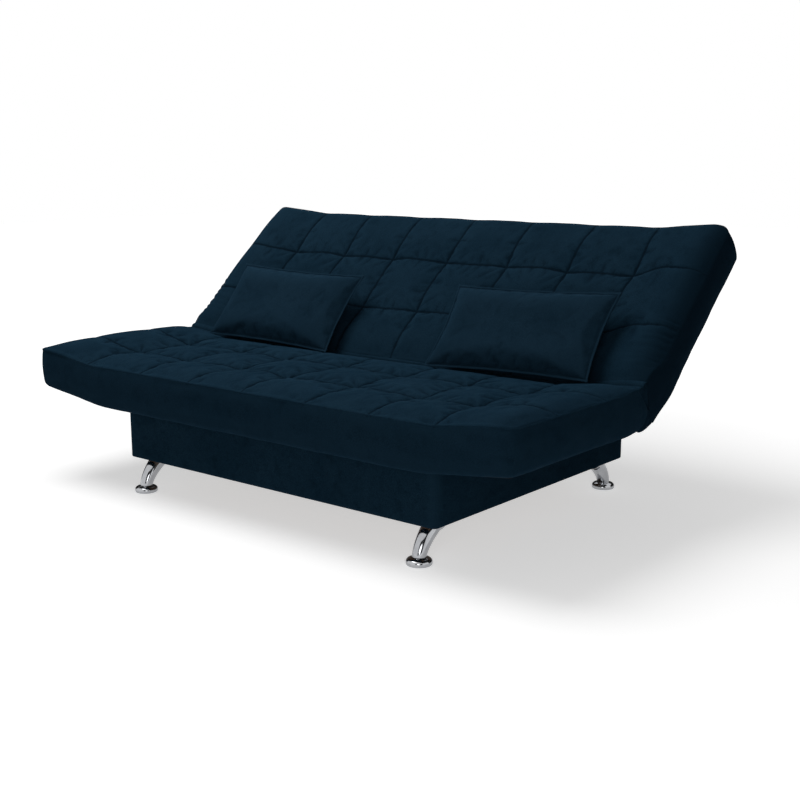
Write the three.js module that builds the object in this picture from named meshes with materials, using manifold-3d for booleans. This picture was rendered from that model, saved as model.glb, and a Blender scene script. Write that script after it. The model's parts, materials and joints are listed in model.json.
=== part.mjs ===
// A click-clack sofa bed: an upholstered box on four chromed legs carries a fixed seat pad, and a back pad
// turns on two ratchet hinges from flat, through a reclined rest, to upright. Two loose pillows lean on it.
// Millimetres, +X to the right-hand end seen from the front, -Y to the front, +Z up. The origin is on the
// floor, under the middle of the object's box.
import * as THREE from "three";
import { mergeVertices } from "three/addons/utils/BufferGeometryUtils.js";
import Module from "manifold-3d";

const wasm = await Module();
wasm.setup();

// ---- Driving dimensions ----
const padLength = 1920; // both pads, end to end
const seatReach = 687; // hinge axis to the seat's front face
const backReach = 675; // hinge axis to the back's top face
const seatUnder = 100; // hinge axis down to the seat's underside
const backUnder = 84; // hinge axis to the back's rear face
const padTop = 60; // hinge axis to both pads' faces
const backAngle = 42; // degrees, the back's face above level in the reclined rest
const uprightAngle = 70; // degrees, the same at the upright stop

const baseLength = 1282; // the box over its cloth
const baseDepth = 1020;
const baseHeight = 176.7;
const hingeBehindBase = 70; // hinge axis behind the middle of the box
const legHeight = 113;
const boardThickness = 18;
const floorThickness = 4;
const bearerThickness = 25;
const cornerRound = 12; // the box's upright edges, under their cloth
const blockLeg = 110; // corner blocks, along each board
const blockHeight = 60;

const wingStart = 600; // half length of the straight middle of the seat's underside
const wingSlope = 0.12; // rise of that underside per length of wing
const wingBlend = 80; // length of the bend into that slope
const wingCurlStart = 640; // where the face starts to curl up
const wingCurl = 26; // rise of the face at the end
const edgeDrop = 20; // the face's edge seam below its crown
const crownRun = 110; // width of the rounded border of the face
const endRound = 22; // rounding of the end faces
const frontRound = 24;
const edgeRound = 12;
const innerGap = 4; // hinge axis to each pad's inner face
const innerRoundMost = 50; // underside corner beside the hinge

const coverThickness = 3; // cloth with its wadding
const liningThickness = 2;
const frameMargin = 30; // foam between the frame and the pad's outer faces
const frameStart = 60; // hinge axis to the frame
const railHeight = 45;
const railThickness = 25;
const bearerWidth = 40;
const springCount = 4;
const springPitch = 200;
const springWire = 4;
const springWidth = 44;
const springWaves = 9;
const stepsPerWave = 6;

const armThickness = 4;
const armWidth = 34;
const armLength = 210; // along the end rail
const headRadius = 30;
const toothHeight = 4;
const toothPitch = 14; // degrees, one lock position of the back to the next
const housingRadius = 34;
const housingDepth = 12;
const pinRadius = 5;
const pinHead = 9;
const boltRadius = 4.5;

const pillowLength = 585;
const pillowHeight = 312;
const pillowThickness = 112;
const pillowLeans = { left: 9, right: 8 }; // degrees steeper than the back
const pillowFromEnd = { left: 172, right: 162 }; // pad's end to the pillow's outer edge
const pillowTurns = { left: -1, right: 2 }; // degrees in its own plane
const pillowPull = 0.05; // share by which a pillow's sides draw in between its corners
const seatingPasses = 12; // nudges that settle a pillow on the pads

const legTopRadius = 28;
const legFootRadius = 20;
const legPlateRadius = 42;
const legPlateThickness = 4;
const legSide = 63; // leg's middle inside the box's end
const footSetIn = 11; // foot's middle inside the box's front or rear
const legSweep = 70; // how far the leg's top stands further in
const footRadius = 37.5;
const footHeight = 20;
const footEdge = 4; // rounding of its lower edge
const bumperRadius = 16;
const bumperSide = 420;

const gap = 0.3; // between pieces that touch
const softGap = 0.8; // round what lies loose
const swingGap = 2; // back over its bumpers when flat

// ---- Sizes that follow ----
const rad = THREE.MathUtils.degToRad;
const half = padLength / 2;
const baseTop = legHeight + baseHeight;
const hingeHeight = baseTop + gap + seatUnder;
const wedge = Math.tan(rad(uprightAngle / 2 + 1)); // each pad's inner face leans back by half the closure
const frameHalf = half - frameMargin;
const endRailInner = frameHalf - railThickness;
const innerRound = Math.min(innerRoundMost, frameStart - innerGap - coverThickness - 2 * gap);

// ---- Finishes ----
function finish(color, roughness, metalness = 0) {
  return new THREE.MeshStandardMaterial({ color, roughness, metalness });
}

const velvet = finish(0x16232f, 0.85);
const pillowCloth = finish(0x1a2a36, 0.85);
const lining = finish(0x17191b, 0.95);
const foam = finish(0xd8cfb0, 0.95);
const timber = finish(0xb48a58, 0.7);
const hardboard = finish(0x7a5a3a, 0.8);
const chrome = finish(0xd5d8dc, 0.12, 1);
const steel = finish(0x8c9094, 0.4, 0.9);
const rubber = finish(0x1a1a1a, 0.9);

// ---- Solids ----
function toSolid(geometry) {
  const bare = geometry.clone();
  bare.deleteAttribute("normal");
  bare.deleteAttribute("uv");
  const merged = mergeVertices(bare, 1e-3);
  return new wasm.Manifold(
    new wasm.Mesh({
      numProp: 3,
      vertProperties: new Float32Array(merged.attributes.position.array),
      triVerts: new Uint32Array(merged.index.array),
    }),
  );
}

function toGeometry(solid) {
  const mesh = solid.getMesh();
  const geometry = new THREE.BufferGeometry();
  geometry.setAttribute("position", new THREE.BufferAttribute(mesh.vertProperties, 3));
  geometry.setIndex(new THREE.BufferAttribute(mesh.triVerts, 1));
  geometry.computeVertexNormals();
  return geometry;
}

const join = (...parts) => toGeometry(parts.map(toSolid).reduce((all, part) => all.add(part)));
const subtract = (all, tool) => all.subtract(tool);
const cut = (body, ...tools) => toGeometry(tools.map(toSolid).reduce(subtract, toSolid(body)));

// A box between two corners.
function box(x0, x1, y0, y1, z0, z1) {
  const made = new THREE.BoxGeometry(x1 - x0, y1 - y0, z1 - z0);
  return made.translate((x0 + x1) / 2, (y0 + y1) / 2, (z0 + z1) / 2);
}

// A closed skin through equal convex loops of points, with flat ends.
function loft(loops) {
  const count = loops[0].length;
  const positions = loops.flat().flatMap((p) => [p.x, p.y, p.z]);
  const index = [];
  for (let i = 0; i + 1 < loops.length; i++) {
    for (let j = 0; j < count; j++) {
      const a = i * count + j;
      const b = i * count + ((j + 1) % count);
      index.push(a, b, b + count, a, b + count, a + count);
    }
  }
  const last = (loops.length - 1) * count;
  for (let j = 1; j + 1 < count; j++) index.push(0, j + 1, j, last, last + j, last + j + 1);
  const geometry = new THREE.BufferGeometry();
  geometry.setAttribute("position", new THREE.Float32BufferAttribute(positions, 3));
  geometry.setIndex(index);
  return facingOut(geometry);
}

// The same skin with its faces pointing out.
function facingOut(geometry) {
  if (signedVolume(geometry) > 0) return geometry;
  const index = geometry.index.array;
  for (let i = 0; i < index.length; i += 3) [index[i + 1], index[i + 2]] = [index[i + 2], index[i + 1]];
  return geometry;
}

function signedVolume(geometry) {
  const { position } = geometry.attributes;
  const corner = [0, 1, 2].map(() => new THREE.Vector3());
  let volume = 0;
  for (let i = 0; i < geometry.index.count; i += 3) {
    corner.forEach((v, k) => v.fromBufferAttribute(position, geometry.index.getX(i + k)));
    volume += corner[0].dot(corner[1].cross(corner[2]));
  }
  return volume;
}

// The other hand of a piece modelled on the +X side.
function onSide(geometry, side) {
  if (side > 0) return geometry;
  const made = mergeVertices(geometry.clone().scale(-1, 1, 1), 1e-3);
  return facingOut(made);
}

const sofa = new THREE.Group();
const seat = new THREE.Group(); // y runs from the hinge axis to the front, z up from it
const back = new THREE.Group(); // y runs from the hinge axis up the back, z out of its face
seat.position.set(0, hingeBehindBase, hingeHeight);
seat.scale.y = -1;
back.position.copy(seat.position);
back.rotation.x = rad(backAngle);
sofa.add(seat, back);

function add(group, name, geometry, material) {
  const mesh = new THREE.Mesh(geometry, material);
  mesh.name = name;
  group.add(mesh);
  return mesh;
}

const sides = { left: -1, right: 1 };
const ends = { front: -1, rear: 1 };

// ---- The pads' form ----
// Rise of a pad's underside at a distance from its middle: straight, a bend, then its slope.
function underLift({ slope }, x) {
  const along = Math.max(0, Math.abs(x) - wingStart);
  return along < wingBlend ? (slope * along ** 2) / (2 * wingBlend) : slope * (along - wingBlend / 2);
}

function faceLift(x) {
  return wingCurl * (Math.max(0, Math.abs(x) - wingCurlStart) / (half - wingCurlStart)) ** 2;
}

// Section of a pad across the sofa, `inset` inside its outer skin.
function padSection({ reach, under }, inset) {
  const inner = innerGap + inset;
  const outer = reach - inset;
  const low = inset - under;
  const top = padTop - inset;
  const edge = top - edgeDrop;
  const path = new THREE.Path();
  path.absarc(inner + innerRound, low + innerRound, innerRound, Math.PI, 1.5 * Math.PI);
  path.absarc(outer - frontRound, low + frontRound, frontRound, -Math.PI / 2, 0);
  path.absarc(outer - edgeRound, edge - edgeRound, edgeRound, 0, rad(60));
  path.quadraticCurveTo(outer - crownRun / 2, top, outer - crownRun, top);
  path.lineTo(inner + crownRun, top);
  path.quadraticCurveTo(inner + crownRun / 2, top, inner + edge * wedge, edge);
  path.lineTo(inner, 0);
  return path.getPoints(2);
}

// Stations along a pad, closer where it bends and at its rounded ends.
function padStations(length) {
  const straight = [0, wingStart, wingStart + wingBlend / 2, wingStart + wingBlend];
  const curled = [(wingStart + length) / 2, length - crownRun, length - crownRun / 2, length - endRound];
  const inner = [...straight, ...curled].map((x) => ({ x, shrink: 0 }));
  const rounded = [45, 90].map((angle) => ({
    x: length - endRound * (1 - Math.sin(rad(angle))),
    shrink: endRound * (1 - Math.cos(rad(angle))),
  }));
  const right = [...inner, ...rounded];
  const left = right.slice(1).map((station) => ({ ...station, x: -station.x }));
  return [...left.reverse(), ...right];
}

// A pad's outer form, or the same form `inset` inside it.
function padBody(spec, inset) {
  const section = padSection(spec, inset);
  const top = padTop - inset;
  const length = half - inset;
  const around = new THREE.Box2().setFromPoints(section);
  const middle = around.getCenter(new THREE.Vector2());
  const size = around.getSize(new THREE.Vector2());
  const loops = padStations(length).map(({ x, shrink }) => {
    const fromEnd = Math.min(1, (length - Math.abs(x)) / crownRun);
    const drop = edgeDrop * (1 - fromEnd) ** 2;
    return section.map((point) => {
      const share = (point.y + spec.under) / (padTop + spec.under);
      const crown = THREE.MathUtils.clamp((point.y - top + edgeDrop) / edgeDrop, 0, 1);
      const lift = underLift(spec, x) * (1 - share) + faceLift(x) * share - crown * drop;
      const y = middle.x + (point.x - middle.x) * (1 - (2 * shrink) / size.x);
      const z = middle.y + (point.y - middle.y) * (1 - (2 * shrink) / size.y) + lift;
      return new THREE.Vector3(x, Math.max(y, innerGap + inset + Math.max(0, z) * wedge), z);
    });
  });
  return loft(loops);
}

// A strip that follows the underside of a pad from end to end: its lower face `above` the underside.
function wingStrip(spec, halfLength, y0, y1, above, height) {
  const bend = [0, 1 / 3, 2 / 3, 1].map((share) => wingStart + share * wingBlend);
  const along = [0, ...bend, halfLength];
  const stations = [...along.slice(1).map((x) => -x).reverse(), ...along];
  const level = above - spec.under;
  const edge = (offset) => stations.map((x) => new THREE.Vector2(x, level + offset + underLift(spec, x)));
  const shape = new THREE.Shape([...edge(0), ...edge(height).reverse()]);
  const strip = new THREE.ExtrudeGeometry(shape, { depth: y1 - y0, bevelEnabled: false });
  return strip.rotateX(Math.PI / 2).translate(0, y1, 0);
}

// ---- One pad: cover, foam, frame, springs and lining ----
class SpringLine extends THREE.Curve {
  constructor(x, y0, y1, z) {
    super();
    Object.assign(this, { x, y0, y1, z });
  }

  getPoint(t, target = new THREE.Vector3()) {
    const swing = (springWidth / 2) * Math.sin(2 * Math.PI * springWaves * t);
    return target.set(this.x + swing, THREE.MathUtils.lerp(this.y0, this.y1, t), this.z);
  }
}

function makeSpring(x, y0, y1, z) {
  const round = new THREE.Path().absarc(0, 0, springWire / 2, 0, 2 * Math.PI);
  const wire = new THREE.Shape(round.getPoints(2).slice(0, -1));
  const line = new SpringLine(x, y0, y1, z);
  const steps = springWaves * stepsPerWave;
  return new THREE.ExtrudeGeometry(wire, { steps, extrudePath: line, bevelEnabled: false });
}

// Room for a hinge between the pad's inner face and its frame.
function hingeSlot({ under }, side) {
  const inner = endRailInner - armThickness * 2 - housingDepth - pinHead;
  const outer = endRailInner + pinHead;
  const slot = box(inner, outer, -innerGap, frameStart, -under - innerRound, headRadius + pinHead);
  return onSide(slot, side);
}

function makePad(group, name, spec) {
  const frameEnd = spec.reach - frameMargin;
  const railLow = liningThickness + gap;
  const slots = Object.values(sides).map((side) => hingeSlot(spec, side));
  const hollow = (height) =>
    wingStrip(spec, frameHalf + gap, frameStart - gap, frameEnd + gap, -innerRound, innerRound + height);
  const opening = hollow(coverThickness + 2 * gap);
  const room = hollow(railLow + railHeight + gap);
  const cover = cut(padBody(spec, 0), padBody(spec, coverThickness), opening, ...slots);
  add(group, `${name}_cover`, cover, velvet);
  add(group, `${name}_foam`, cut(padBody(spec, coverThickness + gap), room, ...slots), foam);
  const sheet = wingStrip(spec, frameHalf, frameStart, frameEnd, 0, liningThickness);
  add(group, `${name}_lining`, sheet, lining);

  const farRail = wingStrip(spec, frameHalf, frameEnd - railThickness, frameEnd, railLow, railHeight);
  add(group, `${name}_${spec.farRail}`, farRail, timber);
  const hingeRailHalf = endRailInner - spec.armStack - gap;
  const hingeRailEnd = frameStart + railThickness;
  const hingeRail = wingStrip(spec, hingeRailHalf, frameStart, hingeRailEnd, railLow, railHeight);
  add(group, `${name}_${spec.hingeRail}`, hingeRail, timber);
  const low = railLow - spec.under;
  const clear0 = frameStart + railThickness + gap;
  const clear1 = frameEnd - railThickness - gap;
  const raised = low + underLift(spec, frameHalf);
  const railTop = raised + railHeight - railThickness * spec.slope;
  for (const [side, sign] of Object.entries(sides)) {
    const rail = box(endRailInner, frameHalf, frameStart, clear1, raised, railTop);
    add(group, `${name}_${side}_rail`, onSide(rail, sign), timber);
  }
  const hook = springWire / 2 + gap;
  const halfBearer = bearerWidth / 2;
  for (const [place, x] of Object.entries(spec.bearers)) {
    const foot = low + underLift(spec, Math.abs(x) + halfBearer);
    const bearer = box(x - halfBearer, x + halfBearer, clear0, clear1, foot, low + railHeight);
    add(group, `${name}_${place}_bearer`, bearer, timber);
  }
  for (let i = 0; i < springCount; i++) {
    const x = springPitch * (i < springCount / 2 ? i - springCount / 2 : i + 1 - springCount / 2);
    const spring = makeSpring(x, clear0 + hook, clear1 - hook, low + railHeight - springWire);
    add(group, `${name}_spring_${i + 1}`, spring, steel);
  }
}

const sideBearer = baseLength / 2 - boardThickness;
const seatSpec = {
  reach: seatReach,
  under: seatUnder,
  slope: wingSlope,
  farRail: "front_rail",
  hingeRail: "rear_rail",
  armStack: armThickness + gap,
  bearers: { left: -sideBearer, middle: 0, right: sideBearer },
};
const backSpec = {
  reach: backReach,
  under: backUnder,
  slope: 0,
  farRail: "top_rail",
  hingeRail: "lower_rail",
  armStack: 2 * (armThickness + gap),
  bearers: { middle: 0 },
};
makePad(seat, "seat", seatSpec);
makePad(back, "back", backSpec);

// ---- Ratchet hinges ----
// A disc or plate in the Y-Z plane, `from` to `to` along X.
function plate(shape, from, to) {
  const depth = to - from;
  const made = new THREE.ExtrudeGeometry(shape, { depth, bevelEnabled: false, curveSegments: 8 });
  return made.rotateX(Math.PI / 2).rotateZ(Math.PI / 2).translate(from, 0, 0);
}

function disc(radius, from, to, y = 0, z = 0, facets = 24) {
  const made = new THREE.CylinderGeometry(radius, radius, to - from, facets);
  return made.rotateZ(Math.PI / 2).translate((from + to) / 2, y, z);
}

// Saw teeth round the part of the seat arm's head that the catch runs on.
function toothedHead(from, to) {
  const points = [];
  const toothed = Math.round((uprightAngle + toothPitch) / toothPitch);
  const start = uprightAngle + 90 - toothPitch / 2;
  for (let i = 0; i < toothed; i++) {
    const angle = start - i * toothPitch;
    points.push(
      [headRadius + toothHeight, angle],
      [headRadius, angle - 2],
      [headRadius + toothHeight / 3, angle - toothPitch / 2],
    );
  }
  const last = start - toothed * toothPitch;
  for (let angle = last; angle > start - 360; angle -= toothPitch) points.push([headRadius, angle]);
  const outline = points.map(([r, a]) => new THREE.Vector2(r * Math.cos(rad(a)), r * Math.sin(rad(a))));
  return plate(new THREE.Shape(outline.reverse()), from, to);
}

// The strip bolted to the end rail, with a neck that rises to the hinge axis.
function armStrip(spec, from, to, neckFrom, neckTo) {
  const middle = liningThickness + gap + railHeight / 2 - spec.under + underLift(spec, endRailInner);
  const low = middle - armWidth / 2;
  const high = middle + armWidth / 2;
  const strip = new THREE.Shape();
  strip.absarc(frameStart + armLength, middle, armWidth / 2, -Math.PI / 2, Math.PI / 2);
  strip.lineTo(frameStart, high);
  strip.lineTo(frameStart, low);
  const neck = new THREE.Shape([
    new THREE.Vector2(0, -headRadius * 0.9),
    new THREE.Vector2(frameStart, low),
    new THREE.Vector2(frameStart + 1, low),
    new THREE.Vector2(frameStart + 1, high),
    new THREE.Vector2(frameStart, high),
    new THREE.Vector2(headRadius * 0.3, headRadius * 0.9),
  ]);
  const bolt = (share) => disc(boltRadius, from - 1, to + 1, frameStart + armLength * share, middle, 12);
  const bolts = [0.15, 0.55, 0.95].map(bolt);
  return cut(join(plate(strip, from, to), plate(neck, neckFrom, neckTo)), ...bolts);
}

for (const [side, sign] of Object.entries(sides)) {
  const outer = endRailInner - gap;
  const seatPlate = [outer - armThickness, outer];
  const backPlate = [seatPlate[0] - gap - armThickness, seatPlate[0] - gap];
  const housing = [backPlate[0] - gap - housingDepth, backPlate[0] - gap];
  const bore = disc(pinRadius + gap, housing[0] - 1, outer + 1, 0, 0, 16);

  const seatArm = join(armStrip(seatSpec, ...seatPlate, ...seatPlate), toothedHead(...seatPlate));
  add(seat, `hinge_${side}_seat_arm`, onSide(cut(seatArm, bore), sign), steel);
  const backStrip = armStrip(backSpec, backPlate[0], outer, ...backPlate);
  const backArm = join(backStrip, disc(headRadius, ...backPlate));
  const seatHeadRoom = disc(headRadius + toothHeight + softGap, seatPlate[0] - gap, outer + 1);
  add(back, `hinge_${side}_back_arm`, onSide(cut(backArm, seatHeadRoom, bore), sign), steel);

  const rim = housingRadius - armThickness;
  const cup = new THREE.LatheGeometry(
    [
      [pinRadius + gap, 0],
      [housingRadius, 0],
      [housingRadius, housingDepth - armThickness],
      [rim, housingDepth],
      [pinRadius + gap, housingDepth],
      [pinRadius + gap, 0],
    ].map(([r, h]) => new THREE.Vector2(r, h)),
    24,
  );
  cup.rotateZ(Math.PI / 2).translate(housing[1], 0, 0);
  add(back, `hinge_${side}_catch_housing`, onSide(join(cup), sign), steel);

  const pinOuter = outer + gap;
  const pinInner = housing[0] - gap;
  const pin = join(
    disc(pinRadius, pinInner - 1, pinOuter + 1, 0, 0, 16),
    disc(pinHead, pinOuter, pinOuter + armThickness, 0, 0, 16),
    disc(pinHead, pinInner - armThickness, pinInner, 0, 0, 16),
  );
  add(seat, `hinge_${side}_pin`, onSide(pin, sign), chrome);
}

// ---- The box ----
const boxX = baseLength / 2 - coverThickness - gap; // outer faces of the boards
const boxY = baseDepth / 2 - coverThickness - gap;

function roundedRectangle(x, y, radius) {
  const shape = new THREE.Shape();
  shape.absarc(x - radius, y - radius, radius, 0, Math.PI / 2);
  shape.absarc(radius - x, y - radius, radius, Math.PI / 2, Math.PI);
  shape.absarc(radius - x, radius - y, radius, Math.PI, 1.5 * Math.PI);
  shape.absarc(x - radius, radius - y, radius, 1.5 * Math.PI, 2 * Math.PI);
  return shape;
}

function slab(shape, z0, z1) {
  const made = new THREE.ExtrudeGeometry(shape, { depth: z1 - z0, bevelEnabled: false, curveSegments: 4 });
  return made.translate(0, 0, z0);
}

const outline = slab(roundedRectangle(boxX, boxY, cornerRound), legHeight, baseTop);
const far = 2 * baseLength;
const inX = boxX - boardThickness;
const inY = boxY - boardThickness;
add(sofa, "base_front_board", cut(outline, box(-far, far, -inY, far, 0, far)), timber);
add(sofa, "base_rear_board", cut(outline, box(-far, far, -far, inY, 0, far)), timber);
for (const [side, sign] of Object.entries(sides)) {
  const board = box(inX, boxX, gap - inY, inY - gap, legHeight, baseTop);
  add(sofa, `base_${side}_board`, onSide(board, sign), timber);
}
const floorTop = legHeight + floorThickness;
add(sofa, "base_floor", box(gap - inX, inX - gap, gap - inY, inY - gap, legHeight, floorTop), hardboard);
const bearerY = hingeBehindBase - frameStart;
add(
  sofa,
  "base_centre_bearer",
  box(gap - inX, inX - gap, bearerY - bearerThickness, bearerY, floorTop + gap, baseTop),
  timber,
);
const wrap = roundedRectangle(baseLength / 2, baseDepth / 2, cornerRound + coverThickness);
wrap.holes.push(roundedRectangle(boxX + gap, boxY + gap, cornerRound));
add(sofa, "base_cover", slab(wrap, legHeight, baseTop), velvet);

// ---- Legs ----
// A tapering bent tube: its foot stands at the origin and its top leans in, towards +Y.
function legTube() {
  const top = new THREE.Vector3(0, legSweep, legHeight);
  const bend = new THREE.Vector3(0, legSweep * 0.06, legHeight * 0.52);
  const foot = new THREE.Vector3(0, 0, footHeight + gap);
  const line = new THREE.QuadraticBezierCurve3(foot, bend, top);
  const turns = [...Array(16).keys()].map((i) => (i * Math.PI) / 8);
  const loops = [0, 0.17, 0.34, 0.5, 0.67, 0.84, 1].map((t) => {
    const middle = line.getPoint(t);
    const along = line.getTangent(t);
    const across = new THREE.Vector3(1, 0, 0);
    const up = new THREE.Vector3().crossVectors(across, along);
    const radius = THREE.MathUtils.lerp(legFootRadius, legTopRadius, t);
    const onRing = (turn) => {
      const spot = middle.clone().addScaledVector(across, radius * Math.cos(turn));
      return spot.addScaledVector(up, radius * Math.sin(turn));
    };
    return turns.map(onRing);
  });
  return loft(loops);
}

const plateTop = legHeight - gap;
const abovePlate = box(-far, far, -far, far, plateTop - legPlateThickness / 2, far);
const belowFoot = box(-far, far, -far, far, -far, footHeight + gap);
const tube = cut(legTube(), abovePlate, belowFoot);
const legPlateFace = legPlateRadius - legPlateThickness / 2;
const legPlate = new THREE.CylinderGeometry(legPlateRadius, legPlateFace, legPlateThickness, 32)
  .rotateX(Math.PI / 2)
  .translate(0, legSweep, plateTop - legPlateThickness / 2);
const legShape = join(tube, legPlate);
const footShape = new THREE.LatheGeometry(
  [
    [0, 0],
    [footRadius - footEdge, 0],
    [footRadius, footEdge],
    [footRadius, footHeight * 0.42],
    [footRadius * 0.9, footHeight * 0.66],
    [footRadius * 0.72, footHeight * 0.88],
    [legFootRadius, footHeight],
    [0, footHeight],
  ].map(([r, h]) => new THREE.Vector2(r, h)),
  20,
).rotateX(Math.PI / 2);

for (const [end, towards] of Object.entries(ends)) {
  for (const [side, sign] of Object.entries(sides)) {
    const corner = new THREE.Group();
    corner.position.set(sign * (baseLength / 2 - legSide), towards * (baseDepth / 2 - footSetIn), 0);
    corner.scale.y = -towards;
    sofa.add(corner);
    add(corner, `leg_${end}_${side}`, legShape, chrome);
    add(corner, `foot_${end}_${side}`, footShape, chrome);
    const x = sign * (inX - gap);
    const y = towards * (inY - gap);
    const triangle = new THREE.Shape([
      new THREE.Vector2(x, y),
      new THREE.Vector2(x - sign * blockLeg, y),
      new THREE.Vector2(x, y - towards * blockLeg),
    ]);
    const block = slab(triangle, floorTop + gap, floorTop + gap + blockHeight);
    add(sofa, `corner_block_${end}_${side}`, block, timber);
  }
}

for (const [side, sign] of Object.entries(sides)) {
  const flatUnderside = hingeHeight - backUnder;
  const height = flatUnderside - swingGap - baseTop - gap;
  const bumper = new THREE.CylinderGeometry(bumperRadius * 0.8, bumperRadius, height, 20);
  const y = boxY - boardThickness / 2;
  bumper.rotateX(Math.PI / 2).translate(sign * bumperSide, y, baseTop + gap + height / 2);
  add(sofa, `base_${side}_bumper`, bumper, rubber);
}

// ---- Pillows ----
// A stuffed case: two crowned faces that meet in a seam with drawn-in sides.
function pillowForm() {
  const across = 12;
  const up = 8;
  const grid = (sign) => {
    const rows = [];
    for (let j = 0; j <= up; j++) {
      for (let i = 0; i <= across; i++) {
        const u = Math.sin((Math.PI / 2) * ((2 * i) / across - 1));
        const v = Math.sin((Math.PI / 2) * ((2 * j) / up - 1));
        const x = (pillowLength / 2) * u * (1 - pillowPull * (1 - v * v));
        const y = (pillowHeight / 2) * v * (1 - pillowPull * (1 - u * u));
        const crown = Math.sqrt(Math.max(0, (1 - u ** 4) * (1 - v ** 4)));
        rows.push(x, y, sign * (pillowThickness / 2) * crown);
      }
    }
    return rows;
  };
  const index = [];
  const face = (u, v) => v * (across + 1) + u;
  const other = (across + 1) * (up + 1);
  for (let j = 0; j < up; j++) {
    for (let i = 0; i < across; i++) {
      const cell = [face(i, j), face(i + 1, j), face(i + 1, j + 1), face(i, j + 1)];
      const corner = i < across / 2 === j < up / 2 ? 0 : 1; // each cell is split towards the nearest corner
      const [a, b, c, d] = [...cell.slice(corner), ...cell.slice(0, corner)];
      index.push(a, b, c, a, c, d);
      index.push(other + a, other + c, other + b, other + a, other + d, other + c);
    }
  }
  const geometry = new THREE.BufferGeometry();
  geometry.setAttribute("position", new THREE.Float32BufferAttribute([...grid(1), ...grid(-1)], 3));
  geometry.setIndex(index);
  return mergeVertices(geometry, 1e-3);
}

const stations = padStations(half).map((station) => station.x);

// Rise of the faceted face: straight between two stations.
function facetLift(x) {
  const next = stations.findIndex((station) => station >= x);
  const [x0, x1] = [stations[next - 1], stations[next]];
  return THREE.MathUtils.mapLinear(x, x0, x1, faceLift(x0), faceLift(x1));
}

// Height of a pad's face over the hinge axis, at a distance from that axis; level inside its crease.
function faceAt(section, x, along) {
  const crease = section.at(-2);
  const reach = Math.max(along, crease.x);
  const spans = (b, i) => i > 0 && b.x <= reach && reach <= section[i - 1].x && b.y > 0;
  const next = section.findIndex(spans);
  const [a, b] = [section[next - 1], section[next]];
  return THREE.MathUtils.mapLinear(reach, a.x, b.x, a.y, b.y) + facetLift(x);
}

// Leans a pillow on the back, free to slide up and down it, and stands it on the seat.
function leanPillow(geometry, x, turn, lean) {
  const points = geometry.attributes.position;
  const [sine, cosine] = [Math.sin(rad(backAngle)), Math.cos(rad(backAngle))];
  const seatFace = padSection(seatSpec, 0);
  geometry.translate(0, pillowHeight / 2, 0).rotateZ(rad(turn)).rotateX(rad(lean));
  geometry.translate(x, 0, 2 * padTop);
  const least = (measure) => {
    const measured = (_, i) => measure(points.getX(i), points.getY(i), points.getZ(i));
    return Math.min(...Array.from({ length: points.count }, measured));
  };
  const overBack = () => least((px, y, z) => z - padTop - facetLift(px));
  const overSeat = () =>
    least((px, y, z) => y * sine + z * cosine - faceAt(seatFace, px, z * sine - y * cosine));
  for (let pass = 0; pass < seatingPasses; pass++) {
    geometry.translate(0, 0, softGap - overBack());
    geometry.translate(0, (softGap - overSeat()) / sine, 0);
  }
  return geometry;
}

for (const [side, sign] of Object.entries(sides)) {
  const middle = sign * (half - pillowFromEnd[side] - pillowLength / 2);
  const pillow = leanPillow(pillowForm(), middle, pillowTurns[side], pillowLeans[side]);
  add(back, `pillow_${side}`, pillow, pillowCloth);
}

sofa.updateMatrixWorld(true);
const extent = new THREE.Box3().setFromObject(sofa, true);
sofa.position.y = -(extent.min.y + extent.max.y) / 2;

export default sofa;
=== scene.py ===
import json
import math
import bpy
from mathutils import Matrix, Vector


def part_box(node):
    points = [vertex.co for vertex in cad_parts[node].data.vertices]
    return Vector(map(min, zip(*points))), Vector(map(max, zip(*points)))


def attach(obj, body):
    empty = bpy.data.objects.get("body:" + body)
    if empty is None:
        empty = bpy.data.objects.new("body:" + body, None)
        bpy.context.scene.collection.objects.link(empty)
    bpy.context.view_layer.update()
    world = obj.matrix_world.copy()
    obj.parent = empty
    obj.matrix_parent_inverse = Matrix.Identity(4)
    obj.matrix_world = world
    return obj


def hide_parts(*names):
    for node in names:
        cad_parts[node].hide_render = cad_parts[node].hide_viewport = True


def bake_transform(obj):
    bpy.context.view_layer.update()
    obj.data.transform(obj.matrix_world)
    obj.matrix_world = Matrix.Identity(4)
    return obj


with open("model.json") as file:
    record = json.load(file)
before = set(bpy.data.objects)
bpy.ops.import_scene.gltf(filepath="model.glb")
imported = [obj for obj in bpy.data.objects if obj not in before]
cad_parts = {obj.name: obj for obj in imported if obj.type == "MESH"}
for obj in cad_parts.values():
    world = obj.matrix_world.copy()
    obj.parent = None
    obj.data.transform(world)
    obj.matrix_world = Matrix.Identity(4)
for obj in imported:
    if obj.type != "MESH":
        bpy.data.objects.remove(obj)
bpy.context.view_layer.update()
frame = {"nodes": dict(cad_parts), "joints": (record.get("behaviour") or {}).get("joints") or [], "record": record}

from types import SimpleNamespace

import bpy
import numpy as np
from mathutils import Matrix, Vector, geometry, noise
from mathutils.bvhtree import BVHTree

# ---- Sizes, in metres ----
recline = next(joint for joint in frame["joints"] if joint["name"] == "back_recline")
HINGE = np.array(recline["pos_m"], float)
BACK_ANGLE = -math.radians(recline["range_deg"][0])
UPRIGHT_ANGLE = BACK_ANGLE + math.radians(recline["range_deg"][1])

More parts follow.
